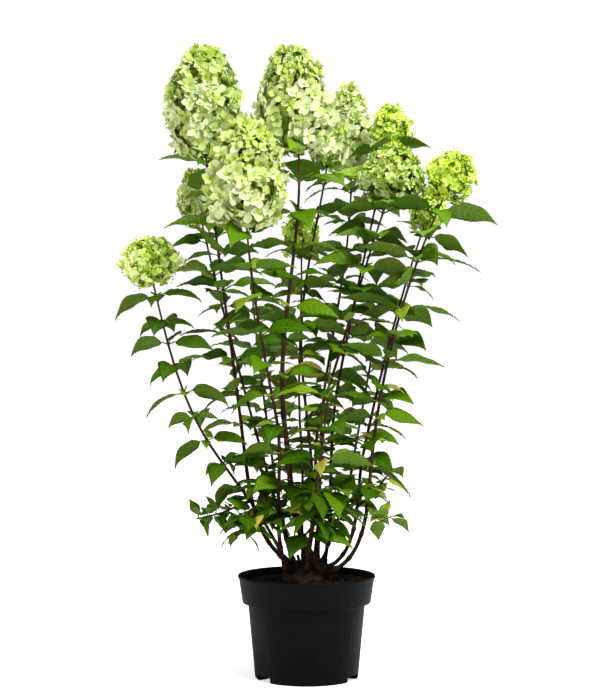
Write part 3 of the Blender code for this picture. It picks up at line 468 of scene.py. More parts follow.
# Each cane: three stations, its lean from upright towards +X at each of them in degrees, its radius at
# the foot, how far up it the leaves begin, the space between leaf pairs, the compass turn of the first
# pair (0 looks at the viewer, 90 to the right), leaf length, and how the leaves rise and droop.
CANES = rows_of(
    "foot waist tip leans radius leafy_from spacing turn leaf rise droop", {
        "far_left": ((-0.044, -0.015, 0.235), (-0.189, -0.021, 0.463), (-0.312, -0.03, 0.81),
            (-22, -34, -13), 0.004, 0.16, 0.052, 80, 0.098, 17, 84),
        "left_low": ((-0.03, 0.015, 0.235), (-0.105, 0.073, 0.494), (-0.227, 0.17, 0.954),
            (-16, -16, -13), 0.0042, 0.13, 0.066, 10, 0.112, 30, 66),
        "left_tall": ((-0.046, 0.0, 0.241), (-0.126, 0.013, 0.45), (-0.213, 0.05, 1.105),
            (-54, -7, -7), 0.0052, 0.13, 0.066, 75, 0.114, 30, 64),
        "front_left": ((-0.042, -0.04, 0.226), (-0.061, -0.109, 0.537), (-0.119, -0.2, 0.958),
            (-18, -11, -2), 0.005, 0.1, 0.064, 70, 0.112, 30, 66),
        "front_mid": ((0.031, -0.035, 0.222), (-0.043, -0.056, 0.505), (-0.021, -0.1, 1.104),
            (-44, -8, -8), 0.0085, 0.095, 0.067, 85, 0.114, 30, 64),
        "mid_back": ((-0.007, 0.02, 0.243), (-0.011, 0.062, 0.478), (-0.011, 0.13, 0.876),
            (-4, -5, -2), 0.0036, 0.1, 0.074, 40, 0.106, 32, 62),
        "mid_tall": ((0.003, 0.005, 0.241), (-0.011, 0.024, 0.675), (0.044, 0.04, 1.056),
            (12, -1, 8), 0.0044, 0.15, 0.072, 120, 0.11, 33, 64),
        "right_back": ((0.015, 0.035, 0.233), (0.041, 0.124, 0.602), (0.097, 0.23, 1.074),
            (10, 9, -2), 0.0044, 0.15, 0.069, 160, 0.11, 32, 66),
        "right_mid": ((0.022, -0.004, 0.232), (0.037, -0.026, 0.568), (0.169, -0.02, 0.983),
            (4, 19, 20), 0.0048, 0.105, 0.06, 95, 0.11, 26, 60),
        "right_tall": ((0.036, 0.015, 0.223), (0.063, 0.058, 0.578), (0.174, 0.12, 1.097),
            (11, 10, 12), 0.0046, 0.15, 0.066, 60, 0.112, 28, 60),
        "right_inner": ((0.039, -0.005, 0.222), (0.116, 0.028, 0.449), (0.246, 0.09, 0.924),
            (70, 12, 19), 0.0048, 0.16, 0.064, 130, 0.112, 20, 52),
        "far_right": ((0.05, -0.03, 0.22), (0.127, -0.048, 0.404), (0.276, -0.07, 0.975),
            (71, 4, 25), 0.0052, 0.17, 0.052, 0, 0.122, 19, 46),
        "back_left": ((-0.024, 0.038, 0.226), (-0.07, 0.13, 0.42), (-0.12, 0.27, 0.8),
            (-20, -9, -6), 0.004, 0.12, 0.068, 20, 0.11, 30, 66),
        "back_right": ((0.03, 0.04, 0.226), (0.1, 0.15, 0.43), (0.16, 0.25, 0.78),
            (24, 10, 6), 0.004, 0.12, 0.072, 50, 0.11, 30, 66),
        "front_low": ((0.0, -0.048, 0.224), (0.02, -0.12, 0.4), (0.045, -0.2, 0.64),
            (4, 8, 4), 0.0038, 0.09, 0.064, 100, 0.112, 26, 60),
    },
)

# Short twigs with smaller leaves that leave a bough low down: the bough, how far up it in metres, the
# compass turn and rise they leave it with, their length, their leaves' length, and how much further off
# the bark they start than the gap between neighbours.
SIDE_TWIGS = rows_of(
    "cane at turn rise length leaf off", {
        "low_left_twig": ("far_left", 0.145, -80, 8, 0.118, 0.06, 0.0004),
        "low_left_spray": ("left_tall", 0.112, 20, 40, 0.11, 0.075, 0.0006),
        "low_left_sprig": ("far_left", 0.09, -40, 2, 0.098, 0.06, 0.0004),
        "low_front_twig": ("front_left", 0.085, -60, 20, 0.07, 0.1, -0.0002),
        "low_centre_twig": ("front_mid", 0.076, 34, 28, 0.08, 0.11, 0.0011),
        "low_right_twig": ("right_inner", 0.146, 70, 42, 0.095, 0.056, 0.0),
        "low_right_spray": ("far_right", 0.135, 50, 5, 0.06, 0.066, 0.0002),
        "low_right_front": ("far_right", 0.155, -70, 10, 0.08, 0.1, 0.001),
        "low_mid_left_twig": ("left_low", 0.105, -25, 22, 0.08, 0.08, 0.0),
        "low_mid_right_twig": ("right_mid", 0.088, 25, 16, 0.09, 0.085, 0.0004),
        "low_inner_twig": ("mid_tall", 0.085, -10, 24, 0.08, 0.08, 0.0002),
        "low_back_twig": ("back_left", 0.104, -150, 20, 0.11, 0.078, 0.0001),
    },
)

# Each flower head: the cane it ends, its length and greatest radius, how far up it is widest, its lean
# towards +X in degrees, how much of it hangs below its cane's tip, and the width of its florets.
HEADS = rows_of(
    "cane length radius widest lean hang floret", {
        "head_top_left": ("left_tall", 0.244, 0.084, 0.42, 3, 0.15, 0.034),
        "head_top_centre": ("front_mid", 0.224, 0.084, 0.26, -3, 0.2, 0.034),
        "head_front": ("front_left", 0.216, 0.086, 0.26, 3, 0.22, 0.034),
        "head_behind_left": ("left_low", 0.122, 0.05, 0.36, -4, 0.1, 0.03),
        "head_behind_centre": ("mid_tall", 0.106, 0.044, 0.4, 6, 0.1, 0.03),
        "head_back_right": ("right_back", 0.208, 0.056, 0.32, -2, 0.1, 0.032),
        "head_inner": ("mid_back", 0.098, 0.042, 0.42, -2, 0.06, 0.028),
        "head_right_top": ("right_tall", 0.1, 0.046, 0.46, 4, 0.06, 0.026),
        "head_right": ("right_mid", 0.122, 0.072, 0.32, 6, 0.12, 0.03),
        "head_right_buds": ("right_inner", 0.084, 0.04, 0.46, 14, 0.06, 0.02),
        "head_far_right": ("far_right", 0.102, 0.053, 0.5, 16, 0.06, 0.026),
        "head_far_left": ("far_left", 0.1, 0.064, 0.5, -6, 0.08, 0.026),
    },
)
LIME_HEADS = ("head_right_top", "head_right_buds", "head_far_right", "head_far_left", "head_inner")


# %% [markdown]
# ## From tables to lines
# A cane is a smooth curve through its three stations, and a side twig is a short one that leaves it. Both
# are kept as points that are read by length, because leaves and rings are placed by length as well.

# %% Lines
def lean_direction(lean, drift):
    """A unit vector that leans from upright by so many degrees towards +X and drifts along Y."""
    angle = math.radians(lean)
    return Vector((math.sin(angle), drift, math.cos(angle))).normalized()


def hermite(start, end, start_pull, end_pull, share):
    return (
        (2 * share**3 - 3 * share**2 + 1) * start
        + (share**3 - 2 * share**2 + share) * start_pull
        + (3 * share**2 - 2 * share**3) * end
        + (share**3 - share**2) * end_pull
    )


class Path:
    """A smooth line that is read by its length."""

    def __init__(self, points):
        self.points = points
        self.marks = [0.0]
        for before, after in zip(points, points[1:]):
            self.marks.append(self.marks[-1] + (after - before).length)
        self.length = self.marks[-1]

    def at(self, mark):
        mark = min(max(mark, 0.0), self.length)
        number = 0
        while number < len(self.marks) - 2 and self.marks[number + 1] < mark:
            number += 1
        share = (mark - self.marks[number]) / (self.marks[number + 1] - self.marks[number])
        return self.points[number].lerp(self.points[number + 1], share)

    def direction(self, mark):
        return (self.at(mark + 0.004) - self.at(mark - 0.004)).normalized()


def cane_path(cane):
    foot, waist, tip = (Vector(cane[key]) for key in ("foot", "waist", "tip"))
    drift = (tip.y - foot.y) / (tip - foot).length
    pulls = [lean_direction(lean, drift) for lean in cane["leans"]]
    points = []
    for start, end, leave, arrive in zip((foot, waist), (waist, tip), pulls, pulls[1:]):
        reach = (end - start).length
        shares = [step / CANE_STEPS for step in range(CANE_STEPS)]
        points += [hermite(start, end, leave * reach, arrive * reach, share) for share in shares]
    return Path(points + [tip])


def cane_radius(cane, path, mark):
    return cane["radius"] + (TIP_RADIUS - cane["radius"]) * (mark / path.length) ** TAPER_POWER


def compass(tangent, turn):
    """The direction that leaves a stem square to it, at a turn from the viewer's side towards +X."""
    front = Vector((0.0, -1.0, 0.0))
    front = (front - tangent * front.dot(tangent)).normalized()
    right = front.cross(tangent) * -1.0
    if right.x < 0:
        right = -right
    return front * math.cos(turn) + right * math.sin(turn)


def twig_path(twig, paths):
    """A side twig's line: it starts a hair off the flats of its bough's bark and curves up a little."""
    cane = CANES[twig["cane"]]
    path = paths[twig["cane"]]
    root = path.at(twig["at"])
    tangent = path.direction(twig["at"])
    out = compass(tangent, math.radians(twig["turn"]))
    rise = math.radians(twig["rise"])
    along = (out * math.cos(rise) + UP * math.sin(rise)).normalized()
    lean = along.angle(tangent)
    flats = cane_radius(cane, path, twig["at"]) * math.cos(math.radians(30.0))
    clear = (flats + GAP + TWIG_RADIUS * abs(math.cos(lean))) / math.sin(lean) + twig["off"]
    start = root + along * clear
    end = start + along * twig["length"] + UP * TWIG_LIFT * twig["length"]
    bend = start.lerp(end, 0.5) - UP * TWIG_SAG * twig["length"]
    return Path([start, bend, end])


cane_paths = {name: cane_path(cane) for name, cane in CANES.items()}
twig_paths = {name: twig_path(twig, cane_paths) for name, twig in SIDE_TWIGS.items()}
print("lines:", len(cane_paths), "canes,", len(twig_paths), "side twigs")


# %% [markdown]
# ## Room for the leaves
# A leaf only grows where there is room: the source tries each against what already stands and swings it a
# little, or leaves it out. The same test runs here, against the solids of the frame and the stems that
# the rule gives, so the same leaves are found.


# %% Space
def stations(start, end, step):
    count = max(2, round((end - start) / step) + 1)
    return [start + (end - start) * number / (count - 1) for number in range(count)]


def square_tube(points, radii):
    """A four-sided stem as the solids have it: a line with a bevel, turned to a mesh and then let go."""
    curve = bpy.data.curves.new("stem", "CURVE")
    curve.dimensions = "3D"
    curve.bevel_depth = 1.0
    curve.bevel_resolution = 0
    curve.use_fill_caps = True
    spline = curve.splines.new("POLY")
    spline.points.add(len(points) - 1)
    for knot, point, radius in zip(spline.points, points, radii):
        knot.co = (*point, 1.0)
        knot.radius = radius
    stem = bpy.data.objects.new("stem", curve)
    scene.collection.objects.link(stem)
    bpy.context.view_layer.update()
    mesh = bpy.data.meshes.new_from_object(stem.evaluated_get(bpy.context.evaluated_depsgraph_get()))
    bpy.data.objects.remove(stem, do_unlink=True)
    return mesh


def shoot_mesh(cane, path):
    start = cane["leafy_from"] + GAP
    marks = stations(start, path.length, SHOOT_STEP)
    marks = [start, start + SQUARE_END] + marks[1:-1] + [path.length - SQUARE_END, path.length]
    points = [path.at(mark) for mark in marks]
    points[1] = points[0] + path.direction(start) * SQUARE_END
    points[-2] = points[-1] - path.direction(path.length) * SQUARE_END
    return square_tube(points, [cane_radius(cane, path, mark) for mark in marks])


def corner_box(points):
    """The lowest and the highest corner of the box round some points."""
    return [Vector([pick(point[axis] for point in points) for axis in range(3)]) for pick in (min, max)]


class Space:
    """What already stands where: a search tree for each solid, so a new leaf keeps clear of the others."""

    def __init__(self):
        self.held = []

    def hold(self, mesh, owner):
        points = [corner.co.copy() for corner in mesh.vertices]
        self.hold_points(points, [tuple(face.vertices) for face in mesh.polygons], owner)

    def hold_points(self, points, faces, owner, blade=False):
        low, high = corner_box(points)
        self.held.append((owner, blade, low, high, BVHTree.FromPolygons(points, faces)))

    def is_free(self, points, faces, owner, own_blades=False):
        low, high = corner_box(points)
        tree = None
        for holder, blade, other_low, other_high, other in self.held:
            if holder == owner and not (own_blades and blade):
                continue
            if any(low[axis] > other_high[axis] or high[axis] < other_low[axis] for axis in range(3)):
                continue
            tree = tree or BVHTree.FromPolygons(points, faces)
            if other.overlap(tree):
                return False
        return True


def standing_solids():
    space = Space()
    for name in cane_paths:
        space.hold(nodes[f"bough_{name}"].data, f"bough_{name}")
    space.hold(nodes["stool"].data, "stool")
    for name, cane in CANES.items():
        space.hold(shoot_mesh(cane, cane_paths[name]), f"shoot_{name}")
    for name, path in twig_paths.items():
        points = [path.at(mark) for mark in stations(0.0, path.length, TWIG_STEP)]
        space.hold(square_tube(points, [TWIG_RADIUS] * len(points)), name)
    for name in HEADS:
        space.hold(nodes[name].data, name)
    return space


space = standing_solids()
print("standing:", len(space.held), "solids")


# %% [markdown]
# ## Dealing the leaves
# A leaf leaves its stem along a heading, rises a little, and droops more and more to its tip under its own
# weight. Its length, rise, droop and roll come from a run of chances of its own.


# %% Leaves by the rule
def line_point(leaf, share):
    """Where the middle line of a leaf lies at a share of its length, and its slope there."""
    rise, droop = leaf["rise"], leaf["droop"]
    slope = rise - droop * share
    forward = leaf["length"] * (math.sin(rise) - math.sin(slope)) / droop
    upward = leaf["length"] * (math.cos(slope) - math.cos(rise)) / droop
    return leaf["root"] + leaf["heading"] * forward + UP * upward, slope


def leaf_shape(leaf, swell=0.0, from_stem=True):
    """The room a leaf needs: three-sided sections at its root and its widest, drawn to its tip."""
    half = leaf["length"] * BLADE_RATIO / 2
    shares = (0.0 if from_stem else BLADE_FOOT, WIDEST_AT)
    halves = (ROOT_HALF if from_stem else 0.3 * half, half)
    side = leaf["heading"].cross(UP)
    points = []
    for share, width in zip(shares, halves):
        place, slope = line_point(leaf, share)
        up = UP * math.cos(slope) - leaf["heading"] * math.sin(slope)
        roll = Matrix.Rotation(leaf["roll"], 3, side.cross(up))
        across = roll @ side * (width + swell)
        raised = roll @ up
        lift = raised * (FOLD * width + swell)
        points += [place - across + lift, place + across + lift, place - raised * (BLADE_THICKNESS + swell)]
    tip, _ = line_point(leaf, 1.0)
    points.append(tip + (tip - place).normalized() * swell)
    faces = [(0, 1, 2)]
    for corner in range(3):
        after = (corner + 1) % 3
        faces += [(corner, corner + 3, after), (after, corner + 3, after + 3), (3 + corner, 6, 3 + after)]
    return points, faces


def leaf_at(root, tangent, turn, rise, droop, length, roll):
    out = compass(tangent, turn)
    heading = Vector((out.x, out.y, 0.0))
    heading = heading.normalized() if heading.length > 1e-6 else Vector((0.0, -1.0, 0.0))
    slant = math.asin(max(-1.0, min(1.0, out.z))) * 0.6 + rise
    return dict(root=root, heading=heading, rise=slant, droop=droop, length=length, roll=roll)


def place_leaf(leaf, owner, rule, space):
    """Tries a leaf as dealt, then swung and tipped a little: the first that is clear is kept, or none."""
    for attempt in range(LEAF_TRIES):
        swing = 0.0 if attempt == 0 else rule.uniform(-TRY_SWING, TRY_SWING)
        tip = 0.0 if attempt == 0 else rule.uniform(-TRY_DIP, TRY_LIFT)
        tried = dict(leaf)
        tried["heading"] = Matrix.Rotation(swing, 3, "Z") @ leaf["heading"]
        tried["rise"] = leaf["rise"] + tip
        tried["length"] = leaf["length"] * (1.0 - TRY_SHORTER * attempt)
        points, faces = leaf_shape(tried, LEAF_CLEARANCE)
        if min(point.z for point in points) < LEAF_FLOOR:
            continue
        if (points[-1] - tried["root"]).length > SLEEVE:
            continue
        if not space.is_free(points, faces, owner):
            continue
        blade, blade_faces = leaf_shape(tried, LEAF_CLEARANCE / 2, from_stem=False)
        if not space.is_free(blade, blade_faces, owner, own_blades=True):
            continue
        space.hold_points(blade, blade_faces, owner, blade=True)
        points, faces = leaf_shape(tried, LEAF_CLEARANCE / 2)
        space.hold_points(points, faces, owner)
        return tried
    return None


def leaf_rule(name, pair, side):
    """A leaf's own run of chances, so that a leaf that finds no room doesn't change the ones after it."""
    return random.Random(f"{name} pair {pair} side {side:.0f}")


def leaf_size(cane, share):
    """Leaf length by how far up its cane it grows: small at the foot and full from the middle on."""
    return cane["leaf"] * (SMALLEST_LEAF + LEAF_GROWTH * math.sin(math.pi * LEAF_PEAK * share))


def shoot_pairs(name, cane, path):
    """Where a cane's pairs of leaves sit, and the turn of each."""
    spaces = random.Random(name + " pairs")
    mark = cane["leafy_from"] + FIRST_PAIR
    pairs = []
    while mark < path.length - LAST_PAIR:
        pairs.append((mark, math.radians(cane["turn"] + 90.0 * len(pairs)) + spaces.uniform(-0.22, 0.22)))
        mark += cane["spacing"] * spaces.uniform(0.88, 1.12)
    return pairs


def shoot_leaves(name, cane, path, space):
    dealt = []
    for pair, (mark, turn) in enumerate(shoot_pairs(name, cane, path)):
        share = mark / path.length
        for side in (0.0, math.pi):
            rule = leaf_rule(name, pair, side)
            length = leaf_size(cane, share) * rule.uniform(0.90, 1.08)
            rise = math.radians(cane["rise"]) + rule.uniform(-0.16, 0.16) + 0.25 * (share - 0.5)
            droop = math.radians(cane["droop"]) * rule.uniform(0.75, 1.25)
            roll = rule.uniform(-0.75, 0.75)
            leaf = leaf_at(path.at(mark), path.direction(mark), turn + side, rise, droop, length, roll)
            dealt.append(place_leaf(leaf, f"shoot_{name}", rule, space))
    return [leaf for leaf in dealt if leaf]


def twig_leaves(name, twig, path, space):
    """A side twig's leaves, closer and smaller than a cane's, with one at its very tip."""
    dealt = []
    pairs = max(2, round(twig["length"] / (0.42 * twig["leaf"])))
    for pair in range(pairs):
        mark = path.length * (0.30 + 0.66 * pair / (pairs - 1))
        for side in (0.0, math.pi):
            rule = leaf_rule(name, pair, side)
            turn = math.radians(70.0 + 90.0 * pair) + rule.uniform(-0.3, 0.3)
            length = twig["leaf"] * rule.uniform(0.8, 1.1)
            rise = rule.uniform(0.1, 0.6)
            droop = rule.uniform(0.6, 1.3)
            tangent = path.direction(mark)
            leaf = leaf_at(path.at(mark), tangent, turn + side, rise, droop, length, rule.uniform(-0.6, 0.6))
            dealt.append(place_leaf(leaf, name, rule, space))
    return [leaf for leaf in dealt if leaf]


dealt_leaves = {}
for name, cane in CANES.items():
    dealt_leaves[f"shoot_{name}"] = shoot_leaves(name, cane, cane_paths[name], space)
for name, twig in SIDE_TWIGS.items():
    dealt_leaves[name] = twig_leaves(name, twig, twig_paths[name], space)
print("leaves by the rule:", sum(map(len, dealt_leaves.values())))

# %% [markdown]
# ## The pot
# The real pot is injection-moulded: one thin wall that steps out to a deep collar, a rolled rim, and a
# foot ring with notches that let water out. It is turned from its profile as the solid is, only finer,
# with small radii at every edge, because a moulded edge always catches a thin line of light.

# %% Pot
POT_SEGMENTS = 160
NOTCH_ANGLES = (-56.0, 63.0, 183.0)
NOTCH_SPAN = 24.0
DRAIN_RADIUS = 0.007
DRAIN_CIRCLE = 0.058
DRAIN_COUNT = 4
PAD_RADIUS = 0.020
RIM_BEAD = 0.0022
RIM_BEAD_DROP = 0.006
FLOOR_THICKNESS = 0.003
EDGE_RADIUS = 0.0011
AXIS_HOLE = 0.0005
CUT_PAST = 0.02


def rounded(profile, radius, steps=3):
    """A profile whose corners are turned to small arcs."""
    points = [profile[0]]
    for before, corner, after in zip(profile, profile[1:], profile[2:]):
        corner_at = Vector(corner)
        arrive, leave = Vector(before) - corner_at, Vector(after) - corner_at
        cut = min(radius, 0.45 * arrive.length, 0.45 * leave.length)
        start = corner_at + arrive.normalized() * cut
        end = corner_at + leave.normalized() * cut
        for step in range(steps + 1):
            share = step / steps
            point = (1 - share) ** 2 * start + 2 * share * (1 - share) * corner_at + share**2 * end
            points.append(tuple(point))
    return points + [profile[-1]]


def turned(name, profile, segments, finish):
    """A profile of (radius, height) points turned round Z."""
    heap = Heap()
    angles = np.arange(segments) * (2 * math.pi / segments)
    radii, heights = (np.array(column)[:, None] for column in zip(*profile))
    points = np.stack([radii * np.cos(angles), radii * np.sin(angles), heights + 0 * angles], axis=-1)
    heap.add(points, grid_faces(len(profile), segments, closed=True))
    return heap.mesh(name, [finish])


def cut_away(piece, place, size, turn, round_cut=False):
    """Cuts a box or a drum out of a piece, once and for all."""
    if round_cut:
        bpy.ops.mesh.primitive_cylinder_add(vertices=32, radius=1.0, depth=1.0)
    else:
        bpy.ops.mesh.primitive_cube_add(size=1.0)
    cutter = bpy.context.object
    cutter.location, cutter.scale, cutter.rotation_euler = place, size, (0.0, 0.0, turn)
    cut = piece.modifiers.new("Cut", "BOOLEAN")
    cut.operation = "DIFFERENCE"
    cut.object = cutter
    bpy.context.view_layer.update()
    done = bpy.data.meshes.new_from_object(piece.evaluated_get(bpy.context.evaluated_depsgraph_get()))
    piece.modifiers.clear()
    piece.data = done
    bpy.data.objects.remove(cutter, do_unlink=True)


def make_pot():
    step_height = POT_HEIGHT - COLLAR_DEPTH
    floor_top = FOOT_HEIGHT + FLOOR_THICKNESS
    profile = [
        (AXIS_HOLE, floor_top),
        (WALL_FOOT_RADIUS - WALL, floor_top),
        (WALL_TOP_RADIUS - WALL, step_height - 0.006),
        (COLLAR_FOOT_RADIUS - WALL, step_height + WALL),
        (RIM_RADIUS - WALL - RIM_BEAD, POT_HEIGHT - 0.001),
        (RIM_RADIUS - WALL - 0.001, POT_HEIGHT),
        (RIM_RADIUS - 0.0008, POT_HEIGHT),
        (RIM_RADIUS, POT_HEIGHT - 0.0012),
        (RIM_RADIUS, POT_HEIGHT - RIM_BEAD_DROP + 0.001),
        (RIM_RADIUS - RIM_BEAD, POT_HEIGHT - RIM_BEAD_DROP),
        (COLLAR_FOOT_RADIUS, step_height),
        (WALL_TOP_RADIUS + 0.001, step_height - 0.003),
        (WALL_TOP_RADIUS, step_height - 0.008),
        (WALL_FOOT_RADIUS, 0.002),
        (WALL_FOOT_RADIUS - 0.002, 0.0),
        (WALL_FOOT_RADIUS - FOOT_WIDTH, 0.0),
        (WALL_FOOT_RADIUS - FOOT_WIDTH, FOOT_HEIGHT),
        (PAD_RADIUS, FOOT_HEIGHT),
        (PAD_RADIUS, 0.0),
        (AXIS_HOLE, 0.0),
        (AXIS_HOLE, floor_top),
    ]
    pot = turned("pot_tub", rounded(profile, EDGE_RADIUS), POT_SEGMENTS, PLASTIC)
    notch_width = 2.0 * WALL_FOOT_RADIUS * math.sin(math.radians(NOTCH_SPAN / 2))
    reach = WALL_FOOT_RADIUS - FOOT_WIDTH / 2
    for angle in NOTCH_ANGLES:
        turn = math.radians(angle - 90.0)
        size = (FOOT_WIDTH + CUT_PAST, notch_width, 2 * (FOOT_HEIGHT - GAP))
        cut_away(pot, round_z(turn, reach, 0.0), size, turn)
    for number in range(DRAIN_COUNT):
        turn = math.radians(360.0 * (number + 0.25) / DRAIN_COUNT)
        place = round_z(turn, DRAIN_CIRCLE, FOOT_HEIGHT + FLOOR_THICKNESS / 2)
        cut_away(pot, place, (DRAIN_RADIUS, DRAIN_RADIUS, 4 * FLOOR_THICKNESS), 0.0, round_cut=True)
    return dressed(pot, "pot", "pot")


make_pot()

# %% [markdown]
# ## Compost
# Potting mix is dark crumbs with splinters of composted bark. A fine disc is raised and sunk by two
# noises for the crumbs, and a few hundred chips of a few faces each lie about on it. It sinks a little to
# the wall, as a mix does when it is watered.

# %% Compost
COMPOST_RINGS = 70
COMPOST_SPOKES = 220
CHIP_COUNT = 520
CHIP_SIZES = ((0.003, 0.011), (0.002, 0.005), (0.001, 0.0028))
CHIP_FACES = ((0, 2, 3, 1), (4, 5, 7, 6), (0, 1, 5, 4), (2, 6, 7, 3), (0, 4, 6, 2), (1, 3, 7, 5))
CHIP_LIFT = 0.0008
CHIP_OFF_WALL = 0.008
BARK_SHARE = 0.45


def compost_height(x, y):
    """The lie of the crumbs: low swells, lumps and grit."""
    swell = noise.noise(Vector((x * 18, y * 18, 3.0))) * 0.0022
    lumps = abs(noise.noise(Vector((x * 90, y * 90, 7.0)))) * 0.0034
    grit = noise.noise(Vector((x * 260, y * 260, 11.0))) * 0.0012
    drop = 0.003 * max(0.0, math.hypot(x, y) / 0.13 - 0.55)
    return COMPOST_TOP + swell + lumps + grit - 0.0016 - drop


def chip(rule):
    """A splinter of bark: a squashed, jagged box."""
    length, width, depth = (rule.uniform(*sizes) for sizes in CHIP_SIZES)
    corners = np.array([(x, y, z) for z in (-0.5, 0.5) for y in (-0.5, 0.5) for x in (-0.5, 0.5)])
    corners = corners * (length, width, depth)
    jag = np.array([[rule.uniform(-0.25, 0.25) for _ in range(3)] for _ in range(8)])
    return corners + jag * (0.35 * length, width, depth)


def make_compost():
    step_height = POT_HEIGHT - COLLAR_DEPTH
    share = (COMPOST_TOP - 0.003 - step_height - WALL) / (COLLAR_DEPTH - 0.001 - WALL)
    inside = COLLAR_FOOT_RADIUS - WALL
    wall = inside + (RIM_RADIUS - WALL - RIM_BEAD - inside) * share - 2 * GAP
    heap = Heap()
    rows = []
    for ring in range(COMPOST_RINGS):
        radius = wall * (0.02 + 0.98 * ring / (COMPOST_RINGS - 1))
        for spoke in range(COMPOST_SPOKES):
            angle = 2 * math.pi * spoke / COMPOST_SPOKES
            x, y = radius * math.cos(angle), radius * math.sin(angle)
            rows.append((x, y, compost_height(x, y)))
    for radius, height in ((inside - 2 * GAP, step_height + WALL + 2 * GAP), (0.001, step_height)):
        for spoke in range(COMPOST_SPOKES):
            angle = 2 * math.pi * spoke / COMPOST_SPOKES
            rows.append(round_z(angle, radius, height))
    heap.add(rows, grid_faces(COMPOST_RINGS + 2, COMPOST_SPOKES, closed=True)[:, ::-1])
    rule = random.Random("chips")
    for _ in range(CHIP_COUNT):
        radius, angle = (wall - CHIP_OFF_WALL) * math.sqrt(rule.random()), rule.uniform(0, 2 * math.pi)
        x, y = radius * math.cos(angle), radius * math.sin(angle)
        spin = Matrix.Rotation(rule.uniform(0, 6.3), 3, "Z")
        tilt = Matrix.Rotation(rule.uniform(-0.5, 0.5), 3, "X")
        place = (x, y, compost_height(x, y) + CHIP_LIFT)
        points = chip(rule) @ np.array((spin @ tilt).transposed()) + place
        heap.add(points, CHIP_FACES, slot=1 if rule.random() < BARK_SHARE else 0)
    return dressed(heap.mesh("compost_surface", [COMPOST, CHIP], smooth=False), "compost", "compost")


make_compost()

# %% [markdown]
# ## Stool and canes
# A hydrangea shrub throws its canes from a woody stool at soil level. Old wood is grey-brown and
# fissured; this year's canes are thin, maroon-brown and smooth, with a raised ring at each pair of
# leaves. Each cane is a tube of many rings laid along its line, whose radius carries the fissures and the
# rings as true relief.

# %% Canes
CANE_SIDES = 10
RING_STEP = 0.0040
SLENDER = 0.88
NODE_SWELL = 0.30
NODE_HALF = 0.0042
NODE_REACH = 0.02
FIRST_BARE_NODE = 0.045
BARE_NODE_SPACE = 0.055
OLD_FISSURES = 0.10
YOUNG_FISSURES = 0.035
FISSURED_SHARE = 0.6
OLD_WOOD_SHARE = 0.22
BROWN_SHARE = 0.86
TWIG_SINK = 0.004
TWIG_RINGS = 24
TWIG_SIDES = 8
STOOL_ROWS = 26
STOOL_SIDES = 56
OLD_STUBS = 6
STUB_CIRCLE = 0.018
STUB_RINGS = 9
STUB_LENGTHS = (0.026, 0.036)
STUB_RADII = (0.0036, 0.0058)
STUB_TAPER = 0.15


def carried_frames(points):
    """Two directions square to a line at each of its points, carried along it without twist."""
    points = [Vector(point) for point in points]
    tangents = [(after - before).normalized() for before, after in zip(points, points[1:])]
    tangents.append(tangents[-1])
    across = tangents[0].orthogonal().normalized()
    frames = []
    for tangent in tangents:
        across = (across - tangent * across.dot(tangent)).normalized()
        frames.append((across.copy(), tangent.cross(across)))
    return frames


def add_tube(heap, points, radii, sides, slot, relief=None):
    """A round limb along a line, closed at both ends. relief gives a factor by ring and side."""
    frames = carried_frames(points)
    angles = np.arange(sides) * (2 * math.pi / sides)
    rings = []
    for number, (point, radius, (across, beside)) in enumerate(zip(points, radii, frames)):
        factor = relief[number][:, None] if relief is not None else 1.0
        spread = np.cos(angles)[:, None] * np.array(across) + np.sin(angles)[:, None] * np.array(beside)
        rings.append(np.array(point) + radius * factor * spread)
    count = len(rings) * sides
    body = np.concatenate(rings + [[np.array(points[0])], [np.array(points[-1])]])
    ends = [(count, (number + 1) % sides, number) for number in range(sides)]
    last = count - sides
    ends += [(count + 1, last + number, last + (number + 1) % sides) for number in range(sides)]
    heap.add(body, grid_faces(len(rings), sides, closed=True), ends, slot)


def cane_relief(name, marks, pair_marks, old_until):
    """How far the bark stands out, by ring and side: fissures low down, and a swelling at each pair."""
    seed = random.Random(name).uniform(0, 50)
    rows = []
    for mark in marks:
        rough = OLD_FISSURES if mark < old_until else YOUNG_FISSURES
        near = [at for at in pair_marks if abs(mark - at) < NODE_REACH]
        swell = sum(NODE_SWELL * math.exp(-(((mark - at) / NODE_HALF) ** 2)) for at in near)
        row = []
        for side in range(CANE_SIDES):
            place = round_z(2 * math.pi * side / CANE_SIDES, 2.2, mark * 55 + seed)
            row.append(1.0 + rough * noise.noise(place) + swell)
        rows.append(row)
    return np.array(rows)


def add_cane(heap, name, cane, path):
    """One cane from inside the stool to its head, brown below and greener to its tip."""
    marks = list(np.arange(0.0, path.length, RING_STEP)) + [path.length]
    pairs = [mark for mark, _ in shoot_pairs(name, cane, path)]
    bare = list(np.arange(FIRST_BARE_NODE, cane["leafy_from"], BARE_NODE_SPACE))
    relief = cane_relief(name, marks, pairs + bare, FISSURED_SHARE * cane["leafy_from"])
    points = [path.at(mark) for mark in marks]
    radii = [SLENDER * cane_radius(cane, path, mark) for mark in marks]
    cuts = [0, int(OLD_WOOD_SHARE * len(marks)), int(BROWN_SHARE * len(marks)), len(marks) - 1]
    for slot, (start, end) in enumerate(zip(cuts, cuts[1:])):
        part = slice(start, end + 1)
        add_tube(heap, points[part], radii[part], CANE_SIDES, slot, relief[part])


def make_canes():
    heap = Heap()
    for name, cane in CANES.items():
        add_cane(heap, name, cane, cane_paths[name])
    replaced = [f"bough_{name}" for name in CANES] + [f"shoot_{name}" for name in CANES]
    return dressed(heap.mesh("canes", [OLD_BARK, CANE_BARK, GREEN_CANE]), "bark", *replaced)


